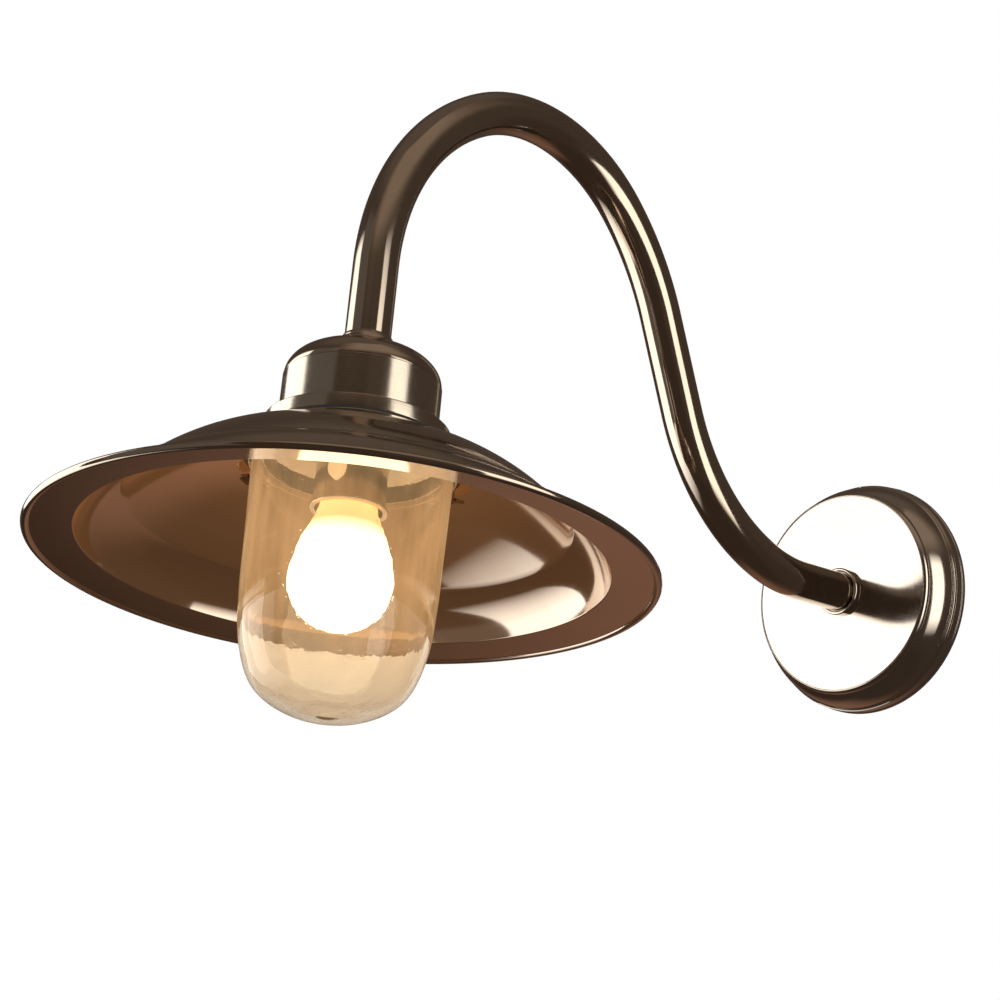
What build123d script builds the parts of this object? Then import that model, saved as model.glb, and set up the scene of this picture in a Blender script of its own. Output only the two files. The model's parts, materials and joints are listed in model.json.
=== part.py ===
from build123d import *
from math import cos, pi, radians, sin
import os

os.makedirs("parts", exist_ok=True)

# A swan-neck wall light. Millimetres, +Z up. The origin is the centre of the
# wall face: the wall is the plane Y = 0 and the light reaches out along -Y.
# Lamp heights are measured along the lamp axis from the shade's neck, up the
# axis positive. Wall depths are measured from the wall, outwards positive.

# ---------------------------------------------------------------- clearances
running_gap = 0.05       # shaft in its hole, spigot in its bore
assembly_gap = 0.3       # pieces that pass or lie beside each other
quarter_turn = 90.0
full_turn = 360.0

# ----------------------------------------------------------------- swan neck
tube_diameter = 25.0
tube_wall = 1.5
stub_length = 72.2       # wall to the start of the wall bend
wall_bend_radius = 122.7
wall_bend_turn = 71.9
riser_length = 60.5
shoulder_radius = 156.9
shoulder_turn = 25.3
crown_radius = 105.6
crown_turn = 72.8
drop_radius = 148.5
drop_turn = 56.8
drop_length = 53.0       # straight stretch down to the cap
tube_tail_depth = 16.0   # where the tube ends inside the wall plate

# ---------------------------------------------------------------- wall plate
plate_radius = 75.0
plate_depth = 30.3
plate_wall = 1.2
plate_foot_height = 2.0
plate_foot_step = 0.5
lower_step_height = 6.0
lower_step_in = 0.9
upper_step_height = 3.0
upper_step_in = 0.7
plate_edge_width = 13.3  # foot and round-over, outside the flat face
plate_edge_drop = 3.7    # face down to the top of the round-over
plate_edge_bulge = 1.3
edge_bead_width = 3.4
edge_bead_height = 0.6
edge_groove_width = 0.7
gasket_thickness = 1.2
gasket_width = 2.0

# ------------------------------------------------------------- wall bracket
bracket_thickness = 1.6
bracket_disc_radius = 42.0
bracket_arm_width = 16.0
bracket_tab_height = 13.0
bracket_tab_gap = 1.0
slot_spacing = 60.0
slot_length = 16.0
slot_width = 4.5
cable_entry_radius = 8.0
cable_entry_height = 27.0
side_screw_radius = 2.0
side_screw_length = 6.0
side_screw_first_angle = -35.0
side_screw_count = 3
hex_key_flat = 2.0
hex_key_depth = 2.0

# -------------------------------------------------- fixings at the wall plate
washer_radius = 20.0
washer_thickness = 1.5
locknut_flats = 32.0
locknut_height = 7.0
ferrule_stand_out = 2.9  # outside the tube
ferrule_lip = 1.1
ferrule_length = 4.6
ferrule_floor = 1.5
ferrule_round = 0.5

# ----------------------------------------------------- wiring and its fixings
cable_radius = 3.0
cable_entry_bend = 18.0
terminal_width = 26.0
terminal_depth = 15.0
terminal_height = 14.0
terminal_screw_radius = 1.75
terminal_screw_pitch = 9.0
terminal_screw_count = 3
terminal_screw_length = 6.0
terminal_screw_proud = 0.8
earth_stud_radius = 2.0
earth_stud_length = 9.0
earth_stud_place = 29.0
earth_nut_flats = 7.0
earth_nut_height = 3.0

# ------------------------------------------------------------ stem and collar
nipple_radius = 5.0
nipple_bore = 4.0
nipple_rise = 10.0       # how far it stands up inside the arm's plug
plug_length = 13.0
nut_flats = 14.0
nut_height = 5.0
collar_foot_radius = 20.0
collar_foot_height = 1.2
collar_waist_radius = 14.2
collar_waist_height = 8.2
collar_height = 9.8
collar_top_wall = 0.8
collar_hollow = 1.1      # how far its flank is hollowed

# ----------------------------------------------------------------- lamp cap
sheet = 1.2              # spun metal of the cap
dome_top_radius = 20.0
dome_set_in = 0.3
dome_rise = 16.5
band_radius = 42.4
band_height = 25.5
band_edge = 0.4
skirt_height = 7.5
skirt_stand_out = 6.9
skirt_round = 0.8
shade_washer_thickness = 1.5
shade_washer_inset = 0.4

# -------------------------------------------------------------------- shade
shade_sheet = 1.2
neck_radius = 50.1
neck_height = 5.0
crown_edge_in = 0.9      # foot of the neck
crown_mid_radius = 90.0
crown_mid_drop = 14.0
upper_edge_radius = 117.0
upper_edge_drop = 34.6
ledge_width = 1.8
ledge_drop = 0.9
cove_mid_radius = 131.2
cove_mid_drop = 44.3
lower_edge_radius = 139.3
lower_edge_drop = 58.6
flange_drop = 61.4
rim_radius = 165.0
rim_bead_radius = 1.5

# -------------------------------------------------------------------- gallery
gallery_neck_gap = 1.2   # inside the cap band
gallery_neck_wall = 2.0
gallery_neck_height = 33.0
gallery_web = 3.0
gallery_web_slot_radius = 26.0
gallery_web_slot_width = 12.0
gallery_web_slot_turn = 70.0
gallery_seat_drop = 1.1
gallery_side_gap = 2.0   # round the glass lip
gallery_rim_drop = 3.6
gallery_floor_drop = 4.4
gallery_band_wall = 1.5
gallery_band_foot = 7.0
spigot_gap = 2.0         # inside the glass
spigot_wall = 1.5
spigot_foot = 11.0
lug_width = 11.0
lug_reach = 1.8
lug_foot = 13.2
lug_count = 3
first_lug_angle = -43.0
seal_thickness = 0.8
seal_width = 5.0

# ---------------------------------------------------------------- thumbscrews
thumbscrew_drop = 9.0
thumbscrew_radius = 2.0
thumbscrew_collar_radius = 3.2
thumbscrew_collar_width = 1.0
wing_width = 11.0
wing_length = 6.5
wing_thickness = 1.6
wing_fillet = 3.0
wing_turns = [12.0, 14.0, 8.0]     # how each wing happens to stand

# ------------------------------------------------------------------ glass jar
jar_lip_radius = 54.8
jar_lip_height = 7.0
jar_lip_width = 1.8      # how far it stands out, and its rounding
jar_wall = 3.0
jar_taper = 1.9
jar_waist_drop = 82.0
jar_turn_in = 2.7
jar_turn_drop = 108.0
jar_corner_in = 8.9
jar_corner_drop = 130.0
jar_foot_radius = 21.0
jar_foot_drop = 142.0
jar_drop = 144.8
jar_base = 4.0

# ----------------------------------------------------------------- lampholder
holder_radius = 19.2
holder_wall = 1.3
holder_foot = 31.0
holder_lip_width = 1.2
holder_lip_height = 2.2
holder_cap_foot = 14.0
holder_cap_flat_radius = 11.0
holder_hub_radius = 8.0
holder_hub_drop = 6.0
core_gap = 0.3
core_floor_wall = 4.0
core_foot = 14.0
core_floor_hole = 3.2
shell_radius = 13.9
shell_wall = 0.4
shell_height = 5.0
shell_foot_gap = 0.5     # above the bulb's glass
contact_width = 5.0
contact_length = 18.0
contact_round = 1.6
contact_thickness = 0.5
contact_gap = 0.5        # above the bulb's tip
holder_screw_radius = 1.6
holder_screw_length = 2.6
holder_screw_drop = 9.0
holder_screw_angle = -42.0
tag_angle = -66.0
tag_drop = 15.5
tag_length = 15.0
tag_width = 10.0
tag_thickness = 0.9

# ----------------------------------------------------------------------- bulb
bulb_globe_radius = 27.8
bulb_globe_drop = 70.6
bulb_glass_wall = 0.8
bulb_neck_lap = 0.8      # glass outside the metal cap
bulb_neck_drop = 22.0
bulb_throat_radius = 16.2
bulb_throat_drop = 35.0
bulb_shoulder_radius = 23.4
bulb_shoulder_drop = 52.0
bulb_thread_gap = 0.4
bulb_cap_wall = 0.4
bulb_cap_height = 1.0
bulb_cone_radius = 5.2
bulb_cone_height = 6.2
bulb_tip_radius = 4.6
bulb_tip_height = 8.0
stem_foot_radius = 9.0
stem_radius = 2.6
stem_drop = 58.0
support_reach = 13.0
support_radius = 0.5
support_drop = 8.0
filament_bend = 0.9

# --------------------------------------------------------------- worked sizes
tube_radius = tube_diameter / 2
tube_bore = tube_radius - tube_wall
tube_clear = tube_radius + running_gap
skirt_foot = neck_height + shade_washer_thickness
band_foot = skirt_foot + skirt_height
band_top = band_foot + band_height
cap_top = band_top + dome_rise
dome_radius = band_radius - dome_set_in
gallery_neck_radius = band_radius - sheet - gallery_neck_gap
gallery_rim_radius = jar_lip_radius + gallery_side_gap + gallery_band_wall
web_foot = gallery_neck_height - gallery_web
holder_cap_height = web_foot - nut_height
holder_lip_radius = holder_radius + holder_lip_width
core_radius = holder_radius - holder_wall - core_gap
core_floor = bulb_tip_height + contact_gap + contact_thickness
core_height = core_floor + core_floor_wall
shell_foot = bulb_neck_drop - shell_foot_gap
bulb_cap_radius = shell_radius - shell_wall - bulb_thread_gap
bulb_neck_radius = bulb_cap_radius + bulb_neck_lap
jar_neck_radius = jar_lip_radius - jar_lip_width
jar_waist_radius = jar_neck_radius - jar_taper
jar_turn_radius = jar_waist_radius - jar_turn_in
jar_corner_radius = jar_turn_radius - jar_corner_in
mouth_radius = jar_neck_radius - jar_wall
spigot_radius = mouth_radius - spigot_gap
seal_foot = gallery_floor_drop + seal_thickness
jar_lip_foot = seal_foot + jar_lip_height
thumbscrew_tip = jar_lip_radius + assembly_gap
lug_face = gallery_rim_radius + lug_reach


def save(sub_part, name):
    """Label a finished sub-part and write it as its own file."""
    sub_part.label = name
    export_step(sub_part, f"parts/{name}.step")
    print(name, "volume", round(sub_part.volume, 1))


# ------------------------------------------------------------ the arm's route
with BuildLine(Plane.YZ) as arm_line:
    stub = Line((-tube_tail_depth, 0), (-stub_length, 0))
    wall_bend = JernArc(stub @ 1, stub % 1, wall_bend_radius, -wall_bend_turn)
    riser = Line(wall_bend @ 1, wall_bend @ 1 + (wall_bend % 1) * riser_length)
    shoulder = JernArc(riser @ 1, riser % 1, shoulder_radius, shoulder_turn)
    crown = JernArc(shoulder @ 1, shoulder % 1, crown_radius, crown_turn)
    drop = JernArc(crown @ 1, crown % 1, drop_radius, drop_turn)
    drop_straight = Line(drop @ 1, drop @ 1 + (drop % 1) * drop_length)

lamp_down = drop % 1
lamp_up = lamp_down * -1
lamp_datum = drop_straight @ 1 + lamp_down * cap_top
lamp_axis = Axis(lamp_datum, lamp_up)
lamp_plane = Plane(origin=lamp_datum, x_dir=(1, 0, 0), z_dir=lamp_up)
lamp_section = Plane(origin=lamp_datum, x_dir=(1, 0, 0), z_dir=Vector(1, 0, 0).cross(lamp_up))
wall_axis = Axis((0, 0, 0), (0, -1, 0))
# Wall sections are drawn with the radius as x and the depth from the wall as y.
wall_section = Plane(origin=(0, 0, 0), x_dir=(1, 0, 0), z_dir=(0, 0, -1))
wall_face = Plane(origin=(0, 0, 0), x_dir=(1, 0, 0), z_dir=(0, -1, 0))


def radial_plane(base, level, angle, radius):
    """A plane square to a spoke of base, with its x level and its y along base's axis."""
    across = base.x_dir * -sin(radians(angle)) + base.y_dir * cos(radians(angle))
    outwards = base.x_dir * cos(radians(angle)) + base.y_dir * sin(radians(angle))
    place = base.origin + base.z_dir * level + outwards * radius
    return Plane(origin=place, x_dir=across, z_dir=outwards)


# ================================================================ wall pieces
with BuildPart() as wall_gasket:
    with BuildSketch(wall_face):
        Circle(plate_radius - plate_foot_step)
        Circle(plate_radius - plate_foot_step - gasket_width, mode=Mode.SUBTRACT)
    extrude(amount=gasket_thickness)
save(wall_gasket.part, "wall_gasket")

foot_depth = gasket_thickness + plate_foot_height
lower_step_depth = foot_depth + lower_step_height
upper_step_depth = lower_step_depth + upper_step_height
edge_top_depth = plate_depth - plate_edge_drop
edge_mid_depth = (upper_step_depth + edge_top_depth) / 2
plate_face_radius = plate_radius - plate_edge_width
step_one_radius = plate_radius - plate_foot_step
step_two_radius = step_one_radius - lower_step_in
edge_foot_radius = step_two_radius - upper_step_in
bead_outer_radius = plate_face_radius + edge_groove_width + edge_bead_width
bead_inner_radius = plate_face_radius + edge_groove_width
bead_crest = plate_depth + edge_bead_height
edge_mid_radius = (edge_foot_radius + bead_outer_radius) / 2 + plate_edge_bulge
inner_radius = edge_foot_radius - plate_wall

with BuildPart() as wall_plate:
    with BuildSketch(wall_section):
        with BuildLine():
            Polyline(
                (inner_radius, gasket_thickness),
                (plate_radius, gasket_thickness),
                (plate_radius, foot_depth),
                (step_one_radius, foot_depth + plate_foot_step),
                (step_one_radius, lower_step_depth),
                (step_two_radius, lower_step_depth + plate_foot_step),
                (step_two_radius, upper_step_depth - plate_foot_step),
                (edge_foot_radius, upper_step_depth),
            )
            ThreePointArc(
                (edge_foot_radius, upper_step_depth),
                (edge_mid_radius, edge_mid_depth),
                (bead_outer_radius, edge_top_depth),
            )
            ThreePointArc(
                (bead_outer_radius, edge_top_depth),
                ((bead_outer_radius + bead_inner_radius) / 2 + edge_bead_height, bead_crest),
                (bead_inner_radius, plate_depth),
            )
            Polyline(
                (bead_inner_radius, plate_depth),
                (plate_face_radius + edge_groove_width / 2, plate_depth - edge_bead_height),
                (plate_face_radius, plate_depth),
                (tube_clear, plate_depth),
                (tube_clear, plate_depth - plate_wall),
                (plate_face_radius, plate_depth - plate_wall),
            )
            ThreePointArc(
                (plate_face_radius, plate_depth - plate_wall),
                (edge_mid_radius - plate_wall, edge_mid_depth),
                (inner_radius, upper_step_depth),
            )
            Line((inner_radius, upper_step_depth), (inner_radius, gasket_thickness))
        make_face()
    revolve(axis=wall_axis)
    side_screw_depth = (lower_step_depth + upper_step_depth) / 2
    for index in range(side_screw_count):
        angle = side_screw_first_angle + index * full_turn / side_screw_count
        with BuildSketch(radial_plane(wall_face, side_screw_depth, angle, inner_radius - plate_wall)):
            Circle(side_screw_radius + assembly_gap)
        extrude(amount=plate_radius, mode=Mode.SUBTRACT)
save(wall_plate.part, "wall_plate")

tab_outer = inner_radius - bracket_tab_gap
with BuildPart() as wall_bracket:
    with BuildSketch(wall_face):
        Circle(bracket_disc_radius)
        for index in range(side_screw_count):
            angle = side_screw_first_angle + index * full_turn / side_screw_count
            with Locations(Rotation(0, 0, angle)):
                with Locations((tab_outer / 2, 0)):
                    Rectangle(tab_outer, bracket_arm_width)
        with Locations((slot_spacing / 2, 0), (-slot_spacing / 2, 0)):
            SlotOverall(slot_length, slot_width, mode=Mode.SUBTRACT)
        with Locations((0, cable_entry_height)):
            Circle(cable_entry_radius, mode=Mode.SUBTRACT)
    extrude(amount=bracket_thickness)
    for index in range(side_screw_count):
        angle = side_screw_first_angle + index * full_turn / side_screw_count
        tab_middle = bracket_tab_height / 2
        with BuildSketch(radial_plane(wall_face, tab_middle, angle, tab_outer)):
            Rectangle(bracket_arm_width, bracket_tab_height)
        extrude(amount=-bracket_thickness)
        with BuildSketch(radial_plane(wall_face, side_screw_depth, angle, tab_outer)):
            Circle(side_screw_radius + running_gap)
        extrude(amount=-bracket_thickness, mode=Mode.SUBTRACT)
save(wall_bracket.part, "wall_bracket")

with BuildPart() as plate_side_screws:
    screw_end = step_two_radius - assembly_gap
    for index in range(side_screw_count):
        angle = side_screw_first_angle + index * full_turn / side_screw_count
        with BuildSketch(radial_plane(wall_face, side_screw_depth, angle, screw_end)):
            Circle(side_screw_radius)
        extrude(amount=-side_screw_length)
        with BuildSketch(radial_plane(wall_face, side_screw_depth, angle, screw_end)):
            RegularPolygon(hex_key_flat / 2, 6, major_radius=False)
        extrude(amount=-hex_key_depth, mode=Mode.SUBTRACT)
save(plate_side_screws.part, "plate_side_screws")

washer_depth = plate_depth - plate_wall
with BuildPart() as arm_washer:
    with BuildSketch(wall_face.offset(washer_depth)):
        Circle(washer_radius)
        Circle(tube_clear, mode=Mode.SUBTRACT)
    extrude(amount=-washer_thickness)
save(arm_washer.part, "arm_washer")

locknut_depth = washer_depth - washer_thickness
with BuildPart() as arm_locknut:
    with BuildSketch(wall_face.offset(locknut_depth)):
        RegularPolygon(locknut_flats / 2, 6, major_radius=False)
        Circle(tube_clear, mode=Mode.SUBTRACT)
    extrude(amount=-locknut_height)
save(arm_locknut.part, "arm_locknut")

# A shallow cup round the tube, its open mouth away from the wall.
ferrule_radius = tube_radius + ferrule_stand_out
ferrule_face = plate_depth + ferrule_length
with BuildPart() as arm_ferrule:
    with BuildSketch(wall_section):
        with BuildLine():
            Polyline(
                (tube_clear, plate_depth),
                (ferrule_radius, plate_depth),
                (ferrule_radius, ferrule_face - ferrule_round),
                (ferrule_radius - ferrule_round, ferrule_face),
                (ferrule_radius - ferrule_lip, ferrule_face),
                (ferrule_radius - ferrule_lip, plate_depth + ferrule_floor),
                (tube_clear, plate_depth + ferrule_floor),
                close=True,
            )
        make_face()
    revolve(axis=wall_axis)
save(arm_ferrule.part, "arm_ferrule")

# The connector block stands on the bracket below the arm, with its cable out
# of the top, and the earth stud stands beside the cable entry above.
cable_start_depth = tube_tail_depth - cable_radius * 2
terminal_top = -cable_entry_bend - cable_radius
terminal_middle = terminal_top - terminal_height / 2
terminal_face = bracket_thickness + terminal_depth
with BuildPart() as terminal_block:
    with BuildSketch(wall_face.offset(bracket_thickness)):
        with Locations((0, terminal_middle)):
            RectangleRounded(terminal_width, terminal_height, terminal_screw_radius)
    extrude(amount=terminal_depth)
    with BuildSketch(wall_face.offset(terminal_face)):
        with Locations((0, terminal_middle)):
            with GridLocations(terminal_screw_pitch, terminal_height, terminal_screw_count, 1):
                Circle(terminal_screw_radius + running_gap)
    extrude(amount=terminal_screw_proud - terminal_screw_length, mode=Mode.SUBTRACT)
save(terminal_block.part, "terminal_block")

with BuildPart() as terminal_screws:
    with BuildSketch(wall_face.offset(terminal_face + terminal_screw_proud)):
        with Locations((0, terminal_middle)):
            with GridLocations(terminal_screw_pitch, terminal_height, terminal_screw_count, 1):
                Circle(terminal_screw_radius)
    extrude(amount=-terminal_screw_length)
save(terminal_screws.part, "terminal_screws")

with BuildPart() as earth_stud:
    with BuildSketch(wall_face.offset(bracket_thickness)):
        with Locations((earth_stud_place, earth_stud_place / 2)):
            RegularPolygon(earth_nut_flats / 2, 6, major_radius=False)
    extrude(amount=earth_nut_height)
    with BuildSketch(wall_face.offset(bracket_thickness)):
        with Locations((earth_stud_place, earth_stud_place / 2)):
            Circle(earth_stud_radius)
    extrude(amount=earth_stud_length)
save(earth_stud.part, "earth_stud")

# ======================================================================= arm
with BuildPart() as arm_tube:
    with BuildSketch(Plane(origin=stub @ 0, z_dir=stub % 0)):
        Circle(tube_radius)
        Circle(tube_bore, mode=Mode.SUBTRACT)
    sweep(path=arm_line.wire())
save(arm_tube.part, "arm_tube")
print("arm section x length", round(pi * (tube_radius**2 - tube_bore**2) * arm_line.wire().length, 1))

with BuildPart() as arm_plug:
    with BuildSketch(lamp_plane.offset(cap_top)):
        Circle(tube_bore - running_gap)
        Circle(nipple_radius + running_gap, mode=Mode.SUBTRACT)
    extrude(amount=plug_length)
save(arm_plug.part, "arm_plug")

# The cable follows the arm's middle line from the terminals to the lampholder.
with BuildLine(Plane.YZ) as cable_line:
    cable_rise = Line((-cable_start_depth, terminal_top), (-cable_start_depth, -cable_entry_bend))
    cable_bend = JernArc(cable_rise @ 1, cable_rise % 1, cable_entry_bend, quarter_turn)
    cable_stub = Line(cable_bend @ 1, stub @ 1)
    JernArc(stub @ 1, stub % 1, wall_bend_radius, -wall_bend_turn)
    Line(riser @ 0, riser @ 1)
    JernArc(riser @ 1, riser % 1, shoulder_radius, shoulder_turn)
    JernArc(shoulder @ 1, shoulder % 1, crown_radius, crown_turn)
    JernArc(crown @ 1, crown % 1, drop_radius, drop_turn)
    Line(drop @ 1, lamp_datum + lamp_up * core_height)
with BuildPart() as supply_cable:
    with BuildSketch(Plane(origin=cable_rise @ 0, z_dir=cable_rise % 0)):
        Circle(cable_radius)
    sweep(path=cable_line.wire())
save(supply_cable.part, "supply_cable")
print("cable section x length", round(pi * cable_radius**2 * cable_line.wire().length, 1))

# ================================================================== lamp cap
nipple_foot = holder_cap_height - holder_hub_drop
with BuildPart() as stem_nipple:
    with BuildSketch(lamp_plane.offset(nipple_foot)):
        Circle(nipple_radius)
        Circle(nipple_bore, mode=Mode.SUBTRACT)
    extrude(amount=cap_top + nipple_rise - nipple_foot)
save(stem_nipple.part, "stem_nipple")

with BuildPart() as nipple_nut:
    with BuildSketch(lamp_plane.offset(web_foot)):
        RegularPolygon(nut_flats / 2, 6, major_radius=False)
        Circle(nipple_radius + running_gap, mode=Mode.SUBTRACT)
    extrude(amount=-nut_height)
save(nipple_nut.part, "nipple_nut")

collar_foot_top = cap_top + collar_foot_height
collar_waist = cap_top + collar_waist_height
with BuildPart() as stem_collar:
    with BuildSketch(lamp_section):
        with BuildLine():
            Polyline(
                (tube_clear, cap_top + collar_height),
                (tube_clear, cap_top),
                (collar_foot_radius, cap_top),
                (collar_foot_radius, collar_foot_top),
            )
            ThreePointArc(
                (collar_foot_radius, collar_foot_top),
                (
                    (collar_foot_radius + collar_waist_radius) / 2 - collar_hollow,
                    (collar_foot_top + collar_waist) / 2 - collar_hollow,
                ),
                (collar_waist_radius, collar_waist),
            )
            Polyline(
                (collar_waist_radius, collar_waist),
                (tube_clear + collar_top_wall, cap_top + collar_height),
                (tube_clear, cap_top + collar_height),
            )
        make_face()
    revolve(axis=lamp_axis)
save(stem_collar.part, "stem_collar")

dome_run = dome_radius - dome_top_radius
with BuildPart() as cap_dome:
    with BuildSketch(lamp_section):
        with BuildLine():
            hole_radius = nipple_radius + running_gap
            Line((hole_radius, cap_top), (dome_top_radius, cap_top))
            EllipticalCenterArc((dome_top_radius, band_top), dome_run, dome_rise, 0, arc_size=quarter_turn)
            Line((dome_radius, band_top), (dome_radius - sheet, band_top))
            EllipticalCenterArc(
                (dome_top_radius, band_top), dome_run - sheet, dome_rise - sheet, 0, arc_size=quarter_turn
            )
            Line((dome_top_radius, cap_top - sheet), (hole_radius, cap_top - sheet))
            Line((hole_radius, cap_top - sheet), (hole_radius, cap_top))
        make_face()
    revolve(axis=lamp_axis)
save(cap_dome.part, "cap_dome")

with BuildPart() as cap_band:
    with BuildSketch(lamp_section):
        with BuildLine():
            Polyline(
                (band_radius - sheet, band_foot),
                (band_radius, band_foot),
                (band_radius, band_top - band_edge),
                (band_radius - band_edge, band_top),
                (band_radius - sheet, band_top),
                close=True,
            )
        make_face()
    revolve(axis=lamp_axis)
save(cap_band.part, "cap_band")

skirt_bore = gallery_neck_radius + running_gap
skirt_radius = band_radius + skirt_stand_out
with BuildPart() as skirt_ring:
    with BuildSketch(lamp_section):
        with BuildLine():
            Polyline(
                (skirt_radius - skirt_round, band_foot),
                (skirt_bore, band_foot),
                (skirt_bore, skirt_foot),
                (skirt_radius, skirt_foot),
                (skirt_radius, band_foot - skirt_round),
            )
            CenterArc((skirt_radius - skirt_round, band_foot - skirt_round), skirt_round, 0, quarter_turn)
        make_face()
    revolve(axis=lamp_axis)
save(skirt_ring.part, "skirt_ring")

with BuildPart() as shade_washer:
    with BuildSketch(lamp_plane.offset(neck_height)):
        Circle(neck_radius - shade_washer_inset)
        Circle(skirt_bore, mode=Mode.SUBTRACT)
    extrude(amount=shade_washer_thickness)
save(shade_washer.part, "shade_washer")

# ===================================================================== shade
# The outer face is drawn from the neck to the rim and the inner face back: a
# neck, a convex cove, a ledge, a second cove, a flat flange and a rolled rim.
neck_bore = neck_radius - shade_sheet
crown_foot_radius = neck_radius + crown_edge_in
ledge_radius = upper_edge_radius + ledge_width
ledge_foot = upper_edge_drop + ledge_drop
with BuildPart() as shade:
    with BuildSketch(lamp_section):
        with BuildLine():
            Line((neck_bore, neck_height), (neck_radius, neck_height))
            Line((neck_radius, neck_height), (neck_radius, crown_edge_in))
            Line((neck_radius, crown_edge_in), (crown_foot_radius, 0))
            ThreePointArc(
                (crown_foot_radius, 0),
                (crown_mid_radius, -crown_mid_drop),
                (upper_edge_radius, -upper_edge_drop),
            )
            Line((upper_edge_radius, -upper_edge_drop), (ledge_radius, -ledge_foot))
            ThreePointArc(
                (ledge_radius, -ledge_foot),
                (cove_mid_radius, -cove_mid_drop),
                (lower_edge_radius, -lower_edge_drop),
            )
            rim_centre_radius = rim_radius - rim_bead_radius
            Line(
                (lower_edge_radius, -lower_edge_drop),
                (rim_centre_radius - rim_bead_radius, -flange_drop),
            )
            ThreePointArc(
                (rim_centre_radius - rim_bead_radius, -flange_drop),
                (rim_radius, -flange_drop - shade_sheet / 2),
                (rim_centre_radius - rim_bead_radius, -flange_drop - shade_sheet),
            )
            Line(
                (rim_centre_radius - rim_bead_radius, -flange_drop - shade_sheet),
                (lower_edge_radius - shade_sheet / 2, -lower_edge_drop - shade_sheet),
            )
            ThreePointArc(
                (lower_edge_radius - shade_sheet / 2, -lower_edge_drop - shade_sheet),
                (cove_mid_radius - shade_sheet, -cove_mid_drop - shade_sheet / 2),
                (ledge_radius - shade_sheet, -ledge_foot - shade_sheet),
            )
            Line(
                (ledge_radius - shade_sheet, -ledge_foot - shade_sheet),
                (upper_edge_radius - shade_sheet / 2, -upper_edge_drop - shade_sheet),
            )
            ThreePointArc(
                (upper_edge_radius - shade_sheet / 2, -upper_edge_drop - shade_sheet),
                (crown_mid_radius - shade_sheet / 2, -crown_mid_drop - shade_sheet),
                (crown_foot_radius, -shade_sheet),
            )
            Line((crown_foot_radius, -shade_sheet), (neck_bore, -shade_sheet + crown_edge_in))
            Line((neck_bore, -shade_sheet + crown_edge_in), (neck_bore, neck_height))
        make_face()
    revolve(axis=lamp_axis)
save(shade.part, "shade")

# =================================================================== gallery
neck_shoulder = neck_bore - running_gap
seat_level = -shade_sheet
with BuildPart() as gallery:
    with BuildSketch(lamp_section):
        with BuildLine():
            Polyline(
                (nipple_radius + running_gap, gallery_neck_height),
                (gallery_neck_radius, gallery_neck_height),
                (gallery_neck_radius, neck_height),
                (neck_shoulder, neck_height),
                (neck_shoulder, seat_level),
                (crown_foot_radius, seat_level),
                (gallery_rim_radius, -gallery_rim_drop),
                (gallery_rim_radius, -gallery_band_foot),
                (gallery_rim_radius - gallery_band_wall, -gallery_band_foot),
                (gallery_rim_radius - gallery_band_wall, -gallery_floor_drop),
                (spigot_radius, -gallery_floor_drop),
                (spigot_radius, -spigot_foot),
                (spigot_radius - spigot_wall, -spigot_foot),
                (spigot_radius - spigot_wall, -gallery_seat_drop),
                (gallery_neck_radius - gallery_neck_wall, neck_height),
                (gallery_neck_radius - gallery_neck_wall, web_foot),
                (nipple_radius + running_gap, web_foot),
                close=True,
            )
        make_face()
    revolve(axis=lamp_axis)
    with BuildSketch(lamp_plane.offset(gallery_neck_height)):
        with PolarLocations(0, lug_count):
            SlotArc(
                CenterArc((0, 0), gallery_web_slot_radius, 0, gallery_web_slot_turn, mode=Mode.PRIVATE),
                gallery_web_slot_width,
            )
    extrude(amount=-gallery_web, mode=Mode.SUBTRACT)
    for index in range(lug_count):
        lug_angle = first_lug_angle + index * full_turn / lug_count
        lug_plane = radial_plane(lamp_plane, 0, lug_angle, lug_face)
        lug_root = gallery_rim_radius - gallery_band_wall
        with BuildSketch(lug_plane):
            with Locations((0, -(gallery_floor_drop + lug_foot) / 2)):
                RectangleRounded(lug_width, lug_foot - gallery_floor_drop, thumbscrew_radius)
        extrude(amount=lug_root - lug_face)
        with BuildSketch(lug_plane):
            with Locations((0, -thumbscrew_drop)):
                Circle(thumbscrew_radius + running_gap)
        extrude(amount=lug_root - lug_face, mode=Mode.SUBTRACT)
save(gallery.part, "gallery")

with BuildPart() as glass_seal:
    with BuildSketch(lamp_plane.offset(-gallery_floor_drop)):
        Circle(jar_lip_radius + assembly_gap)
        Circle(jar_lip_radius + assembly_gap - seal_width, mode=Mode.SUBTRACT)
    extrude(amount=-seal_thickness)
save(glass_seal.part, "glass_seal")

# =============================================================== thumbscrews
head_face = lug_face + assembly_gap
wing_start = head_face + thumbscrew_collar_width
for index, name in enumerate(["thumbscrew_front", "thumbscrew_right", "thumbscrew_left"]):
    screw_angle = first_lug_angle + index * full_turn / lug_count
    tip_plane = radial_plane(lamp_plane, -thumbscrew_drop, screw_angle, thumbscrew_tip)
    spoke = tip_plane.z_dir
    with BuildPart() as thumbscrew:
        with BuildSketch(tip_plane):
            Circle(thumbscrew_radius)
        extrude(amount=wing_start - thumbscrew_tip)
        with BuildSketch(tip_plane.offset(head_face - thumbscrew_tip)):
            Circle(thumbscrew_collar_radius)
        extrude(amount=thumbscrew_collar_width)
        across = tip_plane.x_dir.rotate(Axis((0, 0, 0), spoke), wing_turns[index])
        wing_place = tip_plane.origin + spoke * (wing_start - thumbscrew_tip + wing_length / 2)
        with BuildSketch(Plane(origin=wing_place, x_dir=across, z_dir=across.cross(spoke))):
            RectangleRounded(wing_width, wing_length, wing_fillet)
        extrude(amount=wing_thickness / 2, both=True)
    save(thumbscrew.part, name)

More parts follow.
